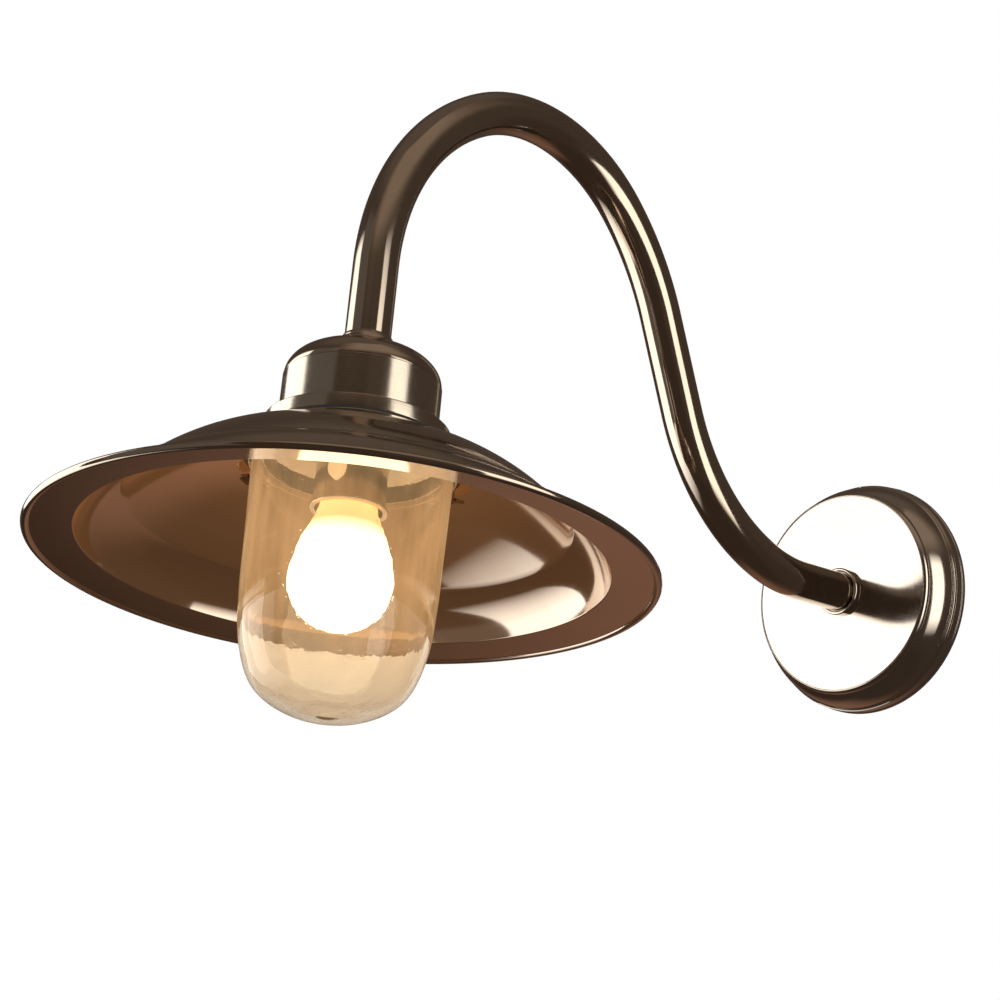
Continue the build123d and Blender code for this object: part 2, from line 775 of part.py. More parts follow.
# ================================================================= glass jar
lip_foot = -jar_lip_foot
with BuildPart() as glass_jar:
    with BuildSketch(lamp_section):
        with BuildLine():
            inner_waist = jar_waist_radius - jar_wall
            inner_turn = jar_turn_radius - jar_wall
            Line((mouth_radius, -seal_foot), (jar_neck_radius, -seal_foot))
            CenterArc((jar_neck_radius, -seal_foot - jar_lip_width), jar_lip_width, 0, quarter_turn)
            Line((jar_lip_radius, -seal_foot - jar_lip_width), (jar_lip_radius, lip_foot + jar_lip_width))
            CenterArc((jar_neck_radius, lip_foot + jar_lip_width), jar_lip_width, -quarter_turn, quarter_turn)
            Line((jar_neck_radius, lip_foot), (jar_waist_radius, -jar_waist_drop))
            outer = Spline(
                (jar_waist_radius, -jar_waist_drop),
                (jar_turn_radius, -jar_turn_drop),
                (jar_corner_radius, -jar_corner_drop),
                (jar_foot_radius, -jar_foot_drop),
                (0, -jar_drop),
                tangents=((jar_waist_radius - jar_neck_radius, -(jar_waist_drop - jar_lip_foot)), (-1, 0)),
            )
            Line((0, -jar_drop), (0, -jar_drop + jar_base))
            inner = Spline(
                (0, -jar_drop + jar_base),
                (jar_foot_radius - jar_wall / 2, -jar_foot_drop + jar_base),
                (jar_corner_radius - jar_wall, -jar_corner_drop + jar_wall / 2),
                (inner_turn, -jar_turn_drop),
                (inner_waist, -jar_waist_drop),
                tangents=((1, 0), (jar_neck_radius - jar_waist_radius, jar_waist_drop - jar_lip_foot)),
            )
            Line((inner_waist, -jar_waist_drop), (mouth_radius, -seal_foot))
        make_face()
    revolve(axis=lamp_axis)
save(glass_jar.part, "glass_jar")

# =============================================================== lampholder
with BuildPart() as holder_cap:
    with BuildSketch(lamp_section):
        with BuildLine():
            Polyline(
                (nipple_radius + running_gap, holder_cap_height),
                (holder_cap_flat_radius, holder_cap_height),
                (holder_radius, holder_cap_height - holder_hub_drop),
                (holder_radius, holder_cap_foot),
                (holder_radius - holder_wall, holder_cap_foot),
                (holder_radius - holder_wall, holder_cap_height - holder_hub_drop - holder_wall),
                (holder_cap_flat_radius, holder_cap_height - holder_wall),
                (holder_hub_radius, holder_cap_height - holder_wall),
                (holder_hub_radius, holder_cap_height - holder_hub_drop),
                (nipple_radius + running_gap, holder_cap_height - holder_hub_drop),
                close=True,
            )
        make_face()
    revolve(axis=lamp_axis)
save(holder_cap.part, "holder_cap")

with BuildPart() as holder_body:
    with BuildSketch(lamp_section):
        with BuildLine():
            lip_edge = -holder_foot - holder_lip_height
            Polyline(
                (holder_radius - holder_wall, holder_cap_foot),
                (holder_radius, holder_cap_foot),
                (holder_radius, -holder_foot),
                (holder_lip_radius, -holder_foot),
            )
            ThreePointArc(
                (holder_lip_radius, -holder_foot),
                (holder_lip_radius + holder_lip_height / 4, (lip_edge - holder_foot) / 2),
                (holder_lip_radius, lip_edge),
            )
            Polyline(
                (holder_lip_radius, lip_edge),
                (holder_radius - holder_wall, lip_edge),
                (holder_radius - holder_wall, holder_cap_foot),
            )
        make_face()
    revolve(axis=lamp_axis)
    with BuildSketch(radial_plane(lamp_plane, -holder_screw_drop, holder_screw_angle, holder_radius)):
        Circle(holder_screw_radius)
    extrude(amount=-holder_wall, mode=Mode.SUBTRACT)
save(holder_body.part, "holder_body")

with BuildPart() as holder_core:
    with BuildSketch(lamp_section):
        with BuildLine():
            Polyline(
                (core_floor_hole, core_height),
                (core_radius, core_height),
                (core_radius, -core_foot),
                (shell_radius + running_gap, -core_foot),
                (shell_radius + running_gap, core_floor),
                (core_floor_hole, core_floor),
                close=True,
            )
        make_face()
    revolve(axis=lamp_axis)
save(holder_core.part, "holder_core")

with BuildPart() as holder_shell:
    with BuildSketch(lamp_plane.offset(shell_height)):
        Circle(shell_radius)
        Circle(shell_radius - shell_wall, mode=Mode.SUBTRACT)
    extrude(amount=-shell_height - shell_foot)
save(holder_shell.part, "holder_shell")

with BuildPart() as holder_contact:
    with BuildSketch(lamp_plane.offset(core_floor)):
        RectangleRounded(contact_length, contact_width, contact_round)
    extrude(amount=-contact_thickness)
save(holder_contact.part, "holder_contact")

with BuildPart() as holder_screw:
    screw_plane = radial_plane(lamp_plane, -holder_screw_drop, holder_screw_angle, holder_radius - holder_wall)
    with BuildSketch(screw_plane):
        Circle(holder_screw_radius - running_gap)
    extrude(amount=holder_screw_length)
save(holder_screw.part, "holder_screw")

# The earth tag is a leaf of thin brass that lies on the lampholder's side.
with BuildPart() as earth_tag:
    tag_plane = radial_plane(lamp_plane, -tag_drop, tag_angle, holder_radius + running_gap)
    with BuildSketch(tag_plane):
        with BuildLine():
            ThreePointArc((0, tag_length / 2), (tag_width / 2, 0), (0, -tag_length / 2))
            ThreePointArc((0, -tag_length / 2), (-tag_width / 2, 0), (0, tag_length / 2))
        make_face()
    extrude(amount=tag_thickness)
save(earth_tag.part, "earth_tag")

# ====================================================================== bulb
with BuildPart() as bulb_globe:
    with BuildSketch(lamp_section):
        with BuildLine():
            inner_globe = bulb_globe_radius - bulb_glass_wall
            Line((bulb_neck_radius - bulb_glass_wall, -bulb_neck_drop), (bulb_neck_radius, -bulb_neck_drop))
            Spline(
                (bulb_neck_radius, -bulb_neck_drop),
                (bulb_throat_radius, -bulb_throat_drop),
                (bulb_shoulder_radius, -bulb_shoulder_drop),
                (bulb_globe_radius, -bulb_globe_drop),
                tangents=((0, -1), (0, -1)),
            )
            CenterArc((0, -bulb_globe_drop), bulb_globe_radius, -quarter_turn, quarter_turn)
            Line((0, -bulb_globe_drop - bulb_globe_radius), (0, -bulb_globe_drop - inner_globe))
            CenterArc((0, -bulb_globe_drop), inner_globe, -quarter_turn, quarter_turn)
            Spline(
                (inner_globe, -bulb_globe_drop),
                (bulb_shoulder_radius - bulb_glass_wall, -bulb_shoulder_drop),
                (bulb_throat_radius - bulb_glass_wall, -bulb_throat_drop),
                (bulb_neck_radius - bulb_glass_wall, -bulb_neck_drop),
                tangents=((0, 1), (0, 1)),
            )
        make_face()
    revolve(axis=lamp_axis)
save(bulb_globe.part, "bulb_globe")

with BuildPart() as bulb_cap:
    with BuildSketch(lamp_plane.offset(-bulb_neck_drop)):
        Circle(bulb_cap_radius)
        Circle(bulb_cap_radius - bulb_cap_wall, mode=Mode.SUBTRACT)
    extrude(amount=bulb_neck_drop + bulb_cap_height)
save(bulb_cap.part, "bulb_cap")

with BuildPart() as bulb_insulator:
    with BuildSketch(lamp_section):
        with BuildLine():
            Polyline(
                (0, bulb_cap_height),
                (bulb_cap_radius, bulb_cap_height),
                (bulb_cone_radius, bulb_cone_height),
                (0, bulb_cone_height),
                close=True,
            )
        make_face()
    revolve(axis=lamp_axis)
save(bulb_insulator.part, "bulb_insulator")

with BuildPart() as bulb_contact:
    with BuildSketch(lamp_plane.offset(bulb_cone_height)):
        Circle(bulb_tip_radius)
    extrude(amount=bulb_tip_height - bulb_cone_height)
save(bulb_contact.part, "bulb_contact")

with BuildPart() as bulb_stem:
    with BuildSketch(lamp_section):
        with BuildLine():
            Polyline(
                (0, -bulb_neck_drop),
                (bulb_neck_radius - bulb_glass_wall, -bulb_neck_drop),
                (stem_foot_radius, -bulb_neck_drop - stem_foot_radius / 2),
                (stem_radius, -bulb_throat_drop),
                (stem_radius, -stem_drop),
                (0, -stem_drop),
                close=True,
            )
        make_face()
    revolve(axis=lamp_axis)
save(bulb_stem.part, "bulb_stem")

# Two supports reach out of the stem and carry a slack W of filament.
with BuildPart() as bulb_filament:
    support_level = -stem_drop
    filament_level = -stem_drop - support_drop
    with BuildLine(lamp_section) as filament_line:
        FilletPolyline(
            (-stem_radius / 2, support_level),
            (-stem_radius / 2, support_level - support_drop / 2),
            (-support_reach, filament_level),
            (-support_reach / 2, filament_level - support_drop),
            (0, filament_level),
            (support_reach / 2, filament_level - support_drop),
            (support_reach, filament_level),
            (stem_radius / 2, support_level - support_drop / 2),
            (stem_radius / 2, support_level),
            radius=filament_bend,
        )
    with BuildSketch(Plane(origin=filament_line.wire() @ 0, z_dir=filament_line.wire() % 0)):
        Circle(support_radius)
    sweep(path=filament_line.wire())
save(bulb_filament.part, "bulb_filament")
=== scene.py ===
import json
import math

import bmesh
import bpy
from mathutils import Matrix, Vector


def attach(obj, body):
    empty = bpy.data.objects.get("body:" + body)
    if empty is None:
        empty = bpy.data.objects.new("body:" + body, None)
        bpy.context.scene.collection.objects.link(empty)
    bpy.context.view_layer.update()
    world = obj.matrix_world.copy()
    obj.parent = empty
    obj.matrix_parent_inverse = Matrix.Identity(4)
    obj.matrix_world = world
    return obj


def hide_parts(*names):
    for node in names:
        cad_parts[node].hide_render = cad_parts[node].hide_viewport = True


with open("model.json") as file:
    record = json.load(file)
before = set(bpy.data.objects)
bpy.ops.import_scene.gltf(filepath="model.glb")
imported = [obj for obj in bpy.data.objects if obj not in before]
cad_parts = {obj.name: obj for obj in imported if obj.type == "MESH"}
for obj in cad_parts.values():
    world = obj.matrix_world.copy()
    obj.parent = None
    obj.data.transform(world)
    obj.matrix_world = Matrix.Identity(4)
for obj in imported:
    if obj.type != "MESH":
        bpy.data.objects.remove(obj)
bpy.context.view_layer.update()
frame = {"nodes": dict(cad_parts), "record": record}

# A swan-neck wall light. Sizes are in millimetres unless a comment says metres.
# An outline is a list of (radius, height) points. At the lamp, heights run up its
# axis from the shade's neck. At the wall, they are depths that run out from it.
MM = 0.001
AXIS = 1e-6                  # an outline's point nearer the axis than this is on it
MERGE = 1e-7                 # metres between vertices that are one

# ------------------------------------------------------------------ camera
# The photograph is taken from the lamp's right front, from below.
CAMERA_PLACE = Vector((0.9167, -1.3221, -0.375))     # metres
CAMERA_AZIMUTH = 43.33
CAMERA_ELEVATION = -15.56
CAMERA_LENS = 90.0
SENSOR_WIDTH = 36.0

# --------------------- swan neck, whose bends are (radius, turn in degrees)
TUBE_RADIUS = 12.5
TUBE_WALL = 1.5
TUBE_TAIL = 16.0             # where the tube starts, inside the wall plate
TUBE_SIDES = 72
LEAST_BEND_STEPS = 24        # a longer bend has a step for each degree
STUB_LENGTH = 72.2           # wall to the first bend
WALL_BEND = (122.7, -71.9)
RISER_LENGTH = 60.5
SHOULDER_BEND = (156.9, 25.3)
CROWN_BEND = (105.6, 72.8)
DROP_BEND = (148.5, 56.8)
DROP_LENGTH = 53.0
CAP_TOP = 56.0
# A ring of faces this long at each open end keeps the tube's shading true.
END_RING = 1.0

# ------------------------------------------------- how corners are eased
EASE = 0.35                  # radius of an ordinary eased corner
LEAST_TURN = 18.0            # degrees; a flatter corner stays as it is
MOST_TURN = 2.6              # radians; a sharper corner is eased as if it were this
EASE_SHARE = 0.3             # the most of each side that an eased corner takes
EASE_HOLD = 1.5              # where a point holds the flat, in reaches from the corner
EASE_SPLIT = 0.44            # how far along each half of the round its extra point is
EASE_SWELL = 0.12            # how far that point swells towards the corner

# Faces round a spun piece.
SPIN_STEPS = 160
SHADE_STEPS = 256
WALL_STEPS = 192
GLOBE_STEPS = 128
SMALL_STEPS = 96
SCREW_STEPS = 32
SHARP = 40.0                 # degrees; an edge that turns more is shaded sharp
GLASS_SHARP = 70.0


# ============================================================ route of the arm
def arm_route():
    """The arm's stretches in the plane X = 0, and where the lamp hangs, in metres.

    A stretch is its turn and its centre, or for a straight run 0 and its vector.
    """
    place = Vector((0, -TUBE_TAIL, 0))
    heading = math.radians(180)
    stretches = []

    def forwards():
        return Vector((0, math.cos(heading), math.sin(heading)))

    def straight(length):
        nonlocal place
        stretches.append((0, forwards() * length * MM))
        place = place + forwards() * length

    def bend(radius, turn):
        nonlocal place, heading
        side = math.copysign(1, turn)
        to_centre = Vector((0, -math.sin(heading), math.cos(heading))) * side
        centre = place + to_centre * radius
        stretches.append((math.radians(turn), centre * MM))
        place = centre + Matrix.Rotation(math.radians(turn), 3, "X") @ (place - centre)
        heading += math.radians(turn)

    straight(END_RING)
    straight(STUB_LENGTH - TUBE_TAIL - END_RING)
    bend(*WALL_BEND)
    straight(RISER_LENGTH)
    for stretch in (SHOULDER_BEND, CROWN_BEND, DROP_BEND):
        bend(*stretch)
    straight(DROP_LENGTH - END_RING)
    straight(END_RING)
    return stretches, (place + forwards() * CAP_TOP) * MM, -forwards()


ARM_STRETCHES, LAMP_DATUM, LAMP_UP = arm_route()
LAMP_TILT = math.atan2(LAMP_UP.y, LAMP_UP.z)
LAMP = Matrix.Translation(LAMP_DATUM) @ Matrix.Rotation(-LAMP_TILT, 4, "X")
# At the wall, a turned piece's axis runs out from the wall along -Y.
WALL = Matrix.Rotation(math.radians(90), 4, "X")


# =========================================================== outlines and spins
def arc(start, middle, end, steps):
    """Points from start to end, along the circle through three (radius, height) points."""
    (ax, ay), (bx, by), (cx, cy) = start, middle, end
    a_square, b_square, c_square = ax**2 + ay**2, bx**2 + by**2, cx**2 + cy**2
    divisor = 2 * (ax * (by - cy) + bx * (cy - ay) + cx * (ay - by))
    centre_x = (a_square * (by - cy) + b_square * (cy - ay) + c_square * (ay - by)) / divisor
    centre_y = (a_square * (cx - bx) + b_square * (ax - cx) + c_square * (bx - ax)) / divisor
    radius = math.hypot(ax - centre_x, ay - centre_y)
    first = math.atan2(ay - centre_y, ax - centre_x)
    via = (math.atan2(by - centre_y, bx - centre_x) - first) % math.tau
    sweep = (math.atan2(cy - centre_y, cx - centre_x) - first) % math.tau
    if via > sweep:
        sweep -= math.tau
    angles = [first + sweep * i / steps for i in range(1, steps + 1)]
    return [start] + [(centre_x + radius * math.cos(t), centre_y + radius * math.sin(t)) for t in angles]


def ellipse(centre, run, rise, first, last, steps):
    """Points along an ellipse between two angles in degrees, both ends included."""
    angles = [math.radians(first + (last - first) * i / steps) for i in range(steps + 1)]
    return [(centre[0] + run * math.cos(t), centre[1] + rise * math.sin(t)) for t in angles]


def curve(points, steps):
    """A smooth line through a few points, both ends included (Catmull-Rom)."""
    line = [Vector(p) for p in points]
    line = [2 * line[0] - line[1]] + line + [2 * line[-1] - line[-2]]
    found = [points[0]]
    for a, b, c, d in zip(line, line[1:], line[2:], line[3:]):
        for i in range(1, steps + 1):
            t = i / steps
            square = (2 * a - 5 * b + 4 * c - d) * t**2
            cube = (3 * b - a - 3 * c + d) * t**3
            p = 0.5 * (2 * b + (c - a) * t + square + cube)
            found.append((p.x, p.y))
    return found


def eased(outline, radius=EASE, least_turn=LEAST_TURN):
    """The closed outline with its sharp corners rounded, and a point beside each to hold the flats."""
    points = [Vector(p) for p in outline]
    found = []
    for i, here in enumerate(points):
        before = points[i - 1] - here
        after = points[(i + 1) % len(points)] - here
        turn = math.pi - before.angle(after, math.pi)
        if turn < math.radians(least_turn) or here.x < AXIS:
            found.append(here)
            continue
        room = EASE_SHARE * min(before.length, after.length)
        reach = min(radius * math.tan(min(turn, MOST_TURN) / 2), room)
        near = here + before.normalized() * reach
        far = here + after.normalized() * reach
        middle = (near + far) / 4 + here / 2
        swell = (here - middle) * EASE_SWELL
        found.append(here + before.normalized() * reach * EASE_HOLD)
        found.extend([near, near * (1 - EASE_SPLIT) + middle * EASE_SPLIT + swell])
        found.append(middle)
        found.extend([far * (1 - EASE_SPLIT) + middle * EASE_SPLIT + swell, far])
        found.append(here + after.normalized() * reach * EASE_HOLD)
    return [(p.x, p.y) for p in found]


def spun(outline, steps=SPIN_STEPS):
    """A bmesh of a closed outline, spun about the Z axis."""
    bm = bmesh.new()
    verts = [bm.verts.new((radius * MM, 0, height * MM)) for radius, height in outline]
    edges = [bm.edges.new(pair) for pair in zip(verts, verts[1:] + verts[:1])]
    bmesh.ops.spin(
        bm, geom=verts + edges, cent=(0, 0, 0), axis=(0, 0, 1), angle=math.tau, steps=steps, use_merge=True
    )
    bmesh.ops.remove_doubles(bm, verts=bm.verts, dist=MERGE)
    return bm


def radial(angle, height, radius):
    """A place in the lamp's frame, with Z outwards along a spoke and Y up the axis."""
    turn = Matrix.Rotation(math.radians(angle), 4, "Z")
    stand = Matrix(((0, 0, 1, 0), (1, 0, 0, 0), (0, 1, 0, 0), (0, 0, 0, 1)))
    return turn @ Matrix.Translation((radius * MM, 0, height * MM)) @ stand


def block(bm, size, place):
    """A block of (x, y, z) sizes in the bmesh, and its vertices."""
    shape = place @ Matrix.Diagonal((*(side * MM for side in size), 1))
    return bmesh.ops.create_cube(bm, size=1.0, matrix=shape)["verts"]


def bevelled(bm, edges, width, segments):
    """Round some edges of the bmesh."""
    bmesh.ops.bevel(
        bm, geom=edges, offset=width * MM, affect="EDGES", segments=segments, profile=0.5, material=-1
    )


def linked(name, bm, material):
    """An object of the bmesh in the scene, with its material."""
    mesh = bpy.data.meshes.new(name)
    bm.to_mesh(mesh)
    bm.free()
    mesh.materials.append(material)
    piece = bpy.data.objects.new(name, mesh)
    bpy.context.scene.collection.objects.link(piece)
    return piece


def finished(name, bm, place, body, material, node, sharp=SHARP):
    """Turn a bmesh into a piece that rides on its body and stands for its node."""
    bmesh.ops.remove_doubles(bm, verts=bm.verts, dist=MERGE)
    bmesh.ops.recalc_face_normals(bm, faces=bm.faces)
    for face in bm.faces:
        face.smooth = True
    for edge in bm.edges:
        if len(edge.link_faces) == 2 and edge.calc_face_angle() > math.radians(sharp):
            edge.smooth = False
    bmesh.ops.transform(bm, matrix=place, verts=bm.verts)
    piece = linked(name, bm, material)
    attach(piece, body)
    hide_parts(node)
    return piece


# ==================================================================== shaders
class Value:
    """A shader socket that takes part in Python arithmetic."""

    def __init__(self, shader, socket):
        self.shader = shader
        self.socket = socket

    def maths(self, operation, *others):
        values = {i + 1: other for i, other in enumerate(others)}
        return self.shader.node("ShaderNodeMath", {"operation": operation}, {0: self, **values})

    def sibling(self, out):
        """Another output of the same node."""
        return Value(self.shader, self.socket.node.outputs[out])

    def __add__(self, other):
        return self.maths("ADD", other)

    def __mul__(self, other):
        return self.maths("MULTIPLY", other)

    def __sub__(self, other):
        return self.maths("SUBTRACT", other)

    def __rsub__(self, other):
        return self.maths("MULTIPLY", -1.0) + other

    def __truediv__(self, other):
        return self.maths("DIVIDE", other)

    def __pow__(self, other):
        return self.maths("POWER", other)

    __radd__ = __add__
    __rmul__ = __mul__


class Shader:
    """The nodes of a material or a world, and the one method that adds to them."""

    def __init__(self, owner, output="ShaderNodeOutputMaterial"):
        owner.use_nodes = True
        self.owner = owner
        self.tree = owner.node_tree
        self.tree.nodes.clear()
        self.output = self.tree.nodes.new(output)

    def node(self, kind, settings=None, sockets=None, out=0):
        """Add a node, give it its settings, then its values and links, and return an output."""
        node = self.tree.nodes.new(kind)
        for key, value in (settings or {}).items():
            if key == "stops":
                ramp = node.color_ramp
                while len(ramp.elements) < len(value):
                    ramp.elements.new(0.5)
                for element, (position, colour) in zip(ramp.elements, value):
                    element.position = position
                    element.color = (*colour, 1)
            else:
                setattr(node, key, value)
        for key, value in (sockets or {}).items():
            if isinstance(value, Value):
                self.tree.links.new(value.socket, node.inputs[key])
            else:
                node.inputs[key].default_value = value
        return Value(self, node.outputs[out])

    def coordinates(self):
        return self.node("ShaderNodeTexCoord", out="Object")

    def place(self, frame_matrix):
        """Object coordinates turned into a piece's own frame, in metres."""
        back = frame_matrix.inverted()
        sockets = {
            "Vector": self.coordinates(),
            "Location": back.to_translation(),
            "Rotation": back.to_euler(),
        }
        return self.node("ShaderNodeMapping", {"vector_type": "POINT"}, sockets)

    def vector_maths(self, operation, first, second=(0, 0, 0), out="Vector"):
        return self.node("ShaderNodeVectorMath", {"operation": operation}, {0: first, 1: second}, out)

    def split(self, vector):
        """A vector's X, Y and Z."""
        parts = self.node("ShaderNodeSeparateXYZ", None, {"Vector": vector})
        return [parts.sibling(axis) for axis in "XYZ"]

    def noise(self, vector, scale, detail, roughness):
        sockets = {"Vector": vector, "Scale": scale, "Detail": detail, "Roughness": roughness}
        return self.node("ShaderNodeTexNoise", None, sockets)

    def remap(self, value, low, high, interpolation="LINEAR"):
        """0 at low and 1 at high, level beyond them; low may be the larger."""
        sockets = {"Value": value, "From Min": low, "From Max": high}
        return self.node("ShaderNodeMapRange", {"interpolation_type": interpolation}, sockets)

    def mix(self, factor, first, second):
        """A blend of two colours, each a link or (red, green, blue)."""
        first, second = (c if isinstance(c, Value) else (*c, 1) for c in (first, second))
        # The node has sockets of one name for each kind of data, so these go by number.
        sockets = {0: factor, 6: first, 7: second}
        return self.node("ShaderNodeMix", {"data_type": "RGBA"}, sockets, out=2)

    def bump(self, height, strength, distance):
        sockets = {"Height": height, "Strength": strength, "Distance": distance}
        return self.node("ShaderNodeBump", None, sockets)

    def finish(self, shader):
        self.tree.links.new(shader.socket, self.output.inputs["Surface"])
        return self.owner

    def surface(self, sockets):
        return self.finish(self.node("ShaderNodeBsdfPrincipled", None, sockets))


def shader_for(name):
    return Shader(bpy.data.materials.new(name))


# ================================================================== materials
# Where the bulb's light is painted on metal and in glass, as a glow in their emission. Places and distances
# are in metres, and a fade is two distances from its middle, where it is 0 and where it is 1.
BULB_HEIGHT = -70.6          # millimetres
BULB_MIDDLE = (0, 0, BULB_HEIGHT * MM)
PAINTED_LIGHT_REACH = 0.07
PAINTED_LIGHT_ON_METAL = (0.24, 0.094, 0.028)
# The jar's painted glow: its middle and its fade.
JAR_PAINTED_GLOW_MIDDLE = (0, 0, -0.055)
JAR_PAINTED_GLOW_FADE = (0.092, 0.054)
BULB_NECK_FADE = (0.0285, 0.0345)
BULB_STRENGTH = 3.2

# Scales are waves to the metre. Spacings and reliefs are in metres.
CLOUD_SCALE = 28.0
SMEAR_SCALE = 196.0
RING_SPACING = 0.0006
BRUSHED_SPACING = 0.0005
NICKEL_RELIEF = 0.0004
GRAIN_RELIEF = 0.0003
JAR_RELIEF = 0.0012
BULB_RELIEF = 0.0005

LIGHT_NICKEL = (0.60, 0.53, 0.46)
DARK_NICKEL = (0.50, 0.42, 0.35)


def turned_lines(shader, local, spacing):
    """Fine rings round the piece's axis, from its radius and height alone."""
    x, y, z = shader.split(local)
    radius = (x * x + y * y) ** 0.5
    rings = shader.node("ShaderNodeCombineXYZ", None, {"X": radius, "Y": z, "Z": 0.0})
    return shader.noise(rings, 1.0 / spacing, 2.0, 0.6)


def painted_bulb_light(shader, local):
    """Painted light from the bulb on hazy metal, put in as emission: strong where a face looks at the bulb
    and is near it.
    """
    ray = shader.vector_maths("SUBTRACT", BULB_MIDDLE, local)
    normal = shader.node("ShaderNodeTexCoord", out="Normal")
    reach = shader.vector_maths("LENGTH", ray, out="Value")
    facing = shader.vector_maths("DOT_PRODUCT", ray, normal, out="Value")
    painted_light_amount = (facing / reach).maths("MAXIMUM", 0.0) * PAINTED_LIGHT_REACH**2 / (reach * reach)
    return shader.mix(painted_light_amount.maths("MINIMUM", 1.0), (0, 0, 0), PAINTED_LIGHT_ON_METAL)


def nickel(name, frame_matrix, light, dark, rough, ring_depth=0.02, ring_spacing=RING_SPACING, lit=False):
    """Antique polished nickel: warm, a little cloudy, with the fine rings of its polishing.

    A lit piece also carries painted light from the bulb, as emission.
    """
    shader = shader_for(name)
    local = shader.place(frame_matrix)
    clouds = shader.noise(local, CLOUD_SCALE, 4.0, 0.6)
    smears = shader.noise(local, SMEAR_SCALE, 2.0, 0.5)
    rings = turned_lines(shader, local, ring_spacing)
    haze = (clouds - 0.5) * rough * 0.8
    rubbing = (smears - 0.5) * rough * 0.5
    polishing = (rings - 0.5) * rough * 0.6
    sockets = {
        "Base Color": shader.mix(clouds, light, dark),
        "Metallic": 1.0,
        "Roughness": rough + haze + rubbing + polishing,
        "Normal": shader.bump(rings + smears * 0.25, ring_depth, NICKEL_RELIEF),
    }
    # A lit piece glows with painted light: its emission stands in for the bulb's light on hazy metal.
    if lit:
        sockets["Emission Color"] = painted_bulb_light(shader, local)
        sockets["Emission Strength"] = 1.0
    return shader.surface(sockets)


def plain(name, light, dark, rough, metal=0.0, scale=120.0, relief=0.05, glow=None):
    """A mottled surface with a fine grain, for the small parts, and its painted glow if it has one,
    standing in for light that falls on it.
    """
    shader = shader_for(name)
    coordinates = shader.coordinates()
    mottle = shader.noise(coordinates, scale, 4.0, 0.6)
    grain = shader.noise(coordinates, scale * 9, 2.0, 0.5)
    sockets = {
        "Base Color": shader.mix(mottle, light, dark),
        "Metallic": metal,
        "Roughness": rough + (mottle - 0.5) * rough * 0.5,
        "Normal": shader.bump(grain + mottle, relief, GRAIN_RELIEF),
    }
    # A glow here is painted light: the piece is no lamp.
    if glow:
        sockets["Emission Color"] = (*glow, 1)
        sockets["Emission Strength"] = 1.0
    return shader.surface(sockets)


def jar_glass():
    """Thick clear glass, blown a little unevenly, with a painted glow in streaks round the bulb that stands
    in for its light in the glass.
    """
    shader = shader_for("jar_glass")
    local = shader.place(LAMP)
    waves = shader.noise(local, 16.0, 2.0, 0.45)
    stretched = shader.vector_maths("MULTIPLY", local, (70, 70, 14))
    cords = shader.noise(stretched, 1.0, 3.0, 0.55)
    seeds = shader.noise(local, 420.0, 1.0, 0.4)
    seed_stops = [(0.70, (0, 0, 0)), (0.76, (1, 1, 1))]
    seeds = shader.node("ShaderNodeValToRGB", {"stops": seed_stops}, {0: seeds})
    reach = shader.vector_maths("DISTANCE", local, JAR_PAINTED_GLOW_MIDDLE, out="Value")
    near = shader.remap(reach, *JAR_PAINTED_GLOW_FADE)
    painted_glow_streaks = near * (cords * 1.9 - 0.15)
    sockets = {
        # Its amber base colour is painted warm light from the bulb: the glass itself is clear.
        "Base Color": (0.78, 0.68, 0.54, 1),
        "Roughness": 0.01,
        "IOR": 1.48,
        "Transmission Weight": 1.0,
        # Painted light: this emission is the bulb's light glowing in the glass, strongest near the bulb.
        "Emission Color": shader.mix(painted_glow_streaks, (0.012, 0.007, 0.003), (0.17, 0.105, 0.050)),
        "Emission Strength": 1.0,
        "Normal": shader.bump(waves + cords * 0.5 + seeds * 0.06, 0.35, JAR_RELIEF),
    }
    return shader.surface(sockets)


def bulb_glass():
    """Pearl glass with the light on: white at the middle of the globe, and amber at its neck."""
    shader = shader_for("bulb_glass")
    local = shader.place(LAMP)
    haze = shader.noise(local, 60.0, 3.0, 0.5)
    glow = shader.mix(haze, (1.0, 0.93, 0.80), (1.0, 0.88, 0.70))
    reach = shader.vector_maths("DISTANCE", local, BULB_MIDDLE, out="Value")
    neck = shader.remap(reach, *BULB_NECK_FADE)
    sockets = {
        "Base Color": (0.95, 0.93, 0.88, 1),
        "Roughness": 0.3,
        "Emission Color": shader.mix(neck, glow, (0.42, 0.23, 0.085)),
        "Emission Strength": BULB_STRENGTH,
        "Normal": shader.bump(haze, 0.05, BULB_RELIEF),
    }
    return shader.surface(sockets)


polished = nickel("polished_nickel", LAMP, LIGHT_NICKEL, DARK_NICKEL, 0.085)
# The shade carries painted light from the bulb, strongest on its inside.
painted_light_shade_nickel = nickel("shade_nickel_with_painted_light", LAMP, LIGHT_NICKEL, DARK_NICKEL, 0.085, lit=True)
wall_polished = nickel("wall_nickel", WALL, (0.64, 0.59, 0.54), (0.56, 0.50, 0.45), 0.10)
tube_polished = nickel("tube_nickel", Matrix(), LIGHT_NICKEL, DARK_NICKEL, 0.10, ring_depth=0.0)
brushed = nickel(
    "brushed_nickel", LAMP, (0.62, 0.57, 0.50), (0.52, 0.46, 0.39), 0.15,
    ring_depth=0.08, ring_spacing=BRUSHED_SPACING,
)
brass = plain("nut_brass", (0.72, 0.52, 0.27), (0.60, 0.41, 0.19), 0.25, metal=1.0)
zinc = plain("zinc_plate", (0.62, 0.63, 0.64), (0.48, 0.49, 0.50), 0.36, metal=1.0)
rubber = plain("gasket_rubber", (0.03, 0.028, 0.025), (0.018, 0.016, 0.014), 0.75)
plastic = plain("terminal_plastic", (0.70, 0.66, 0.56), (0.64, 0.60, 0.50), 0.45)
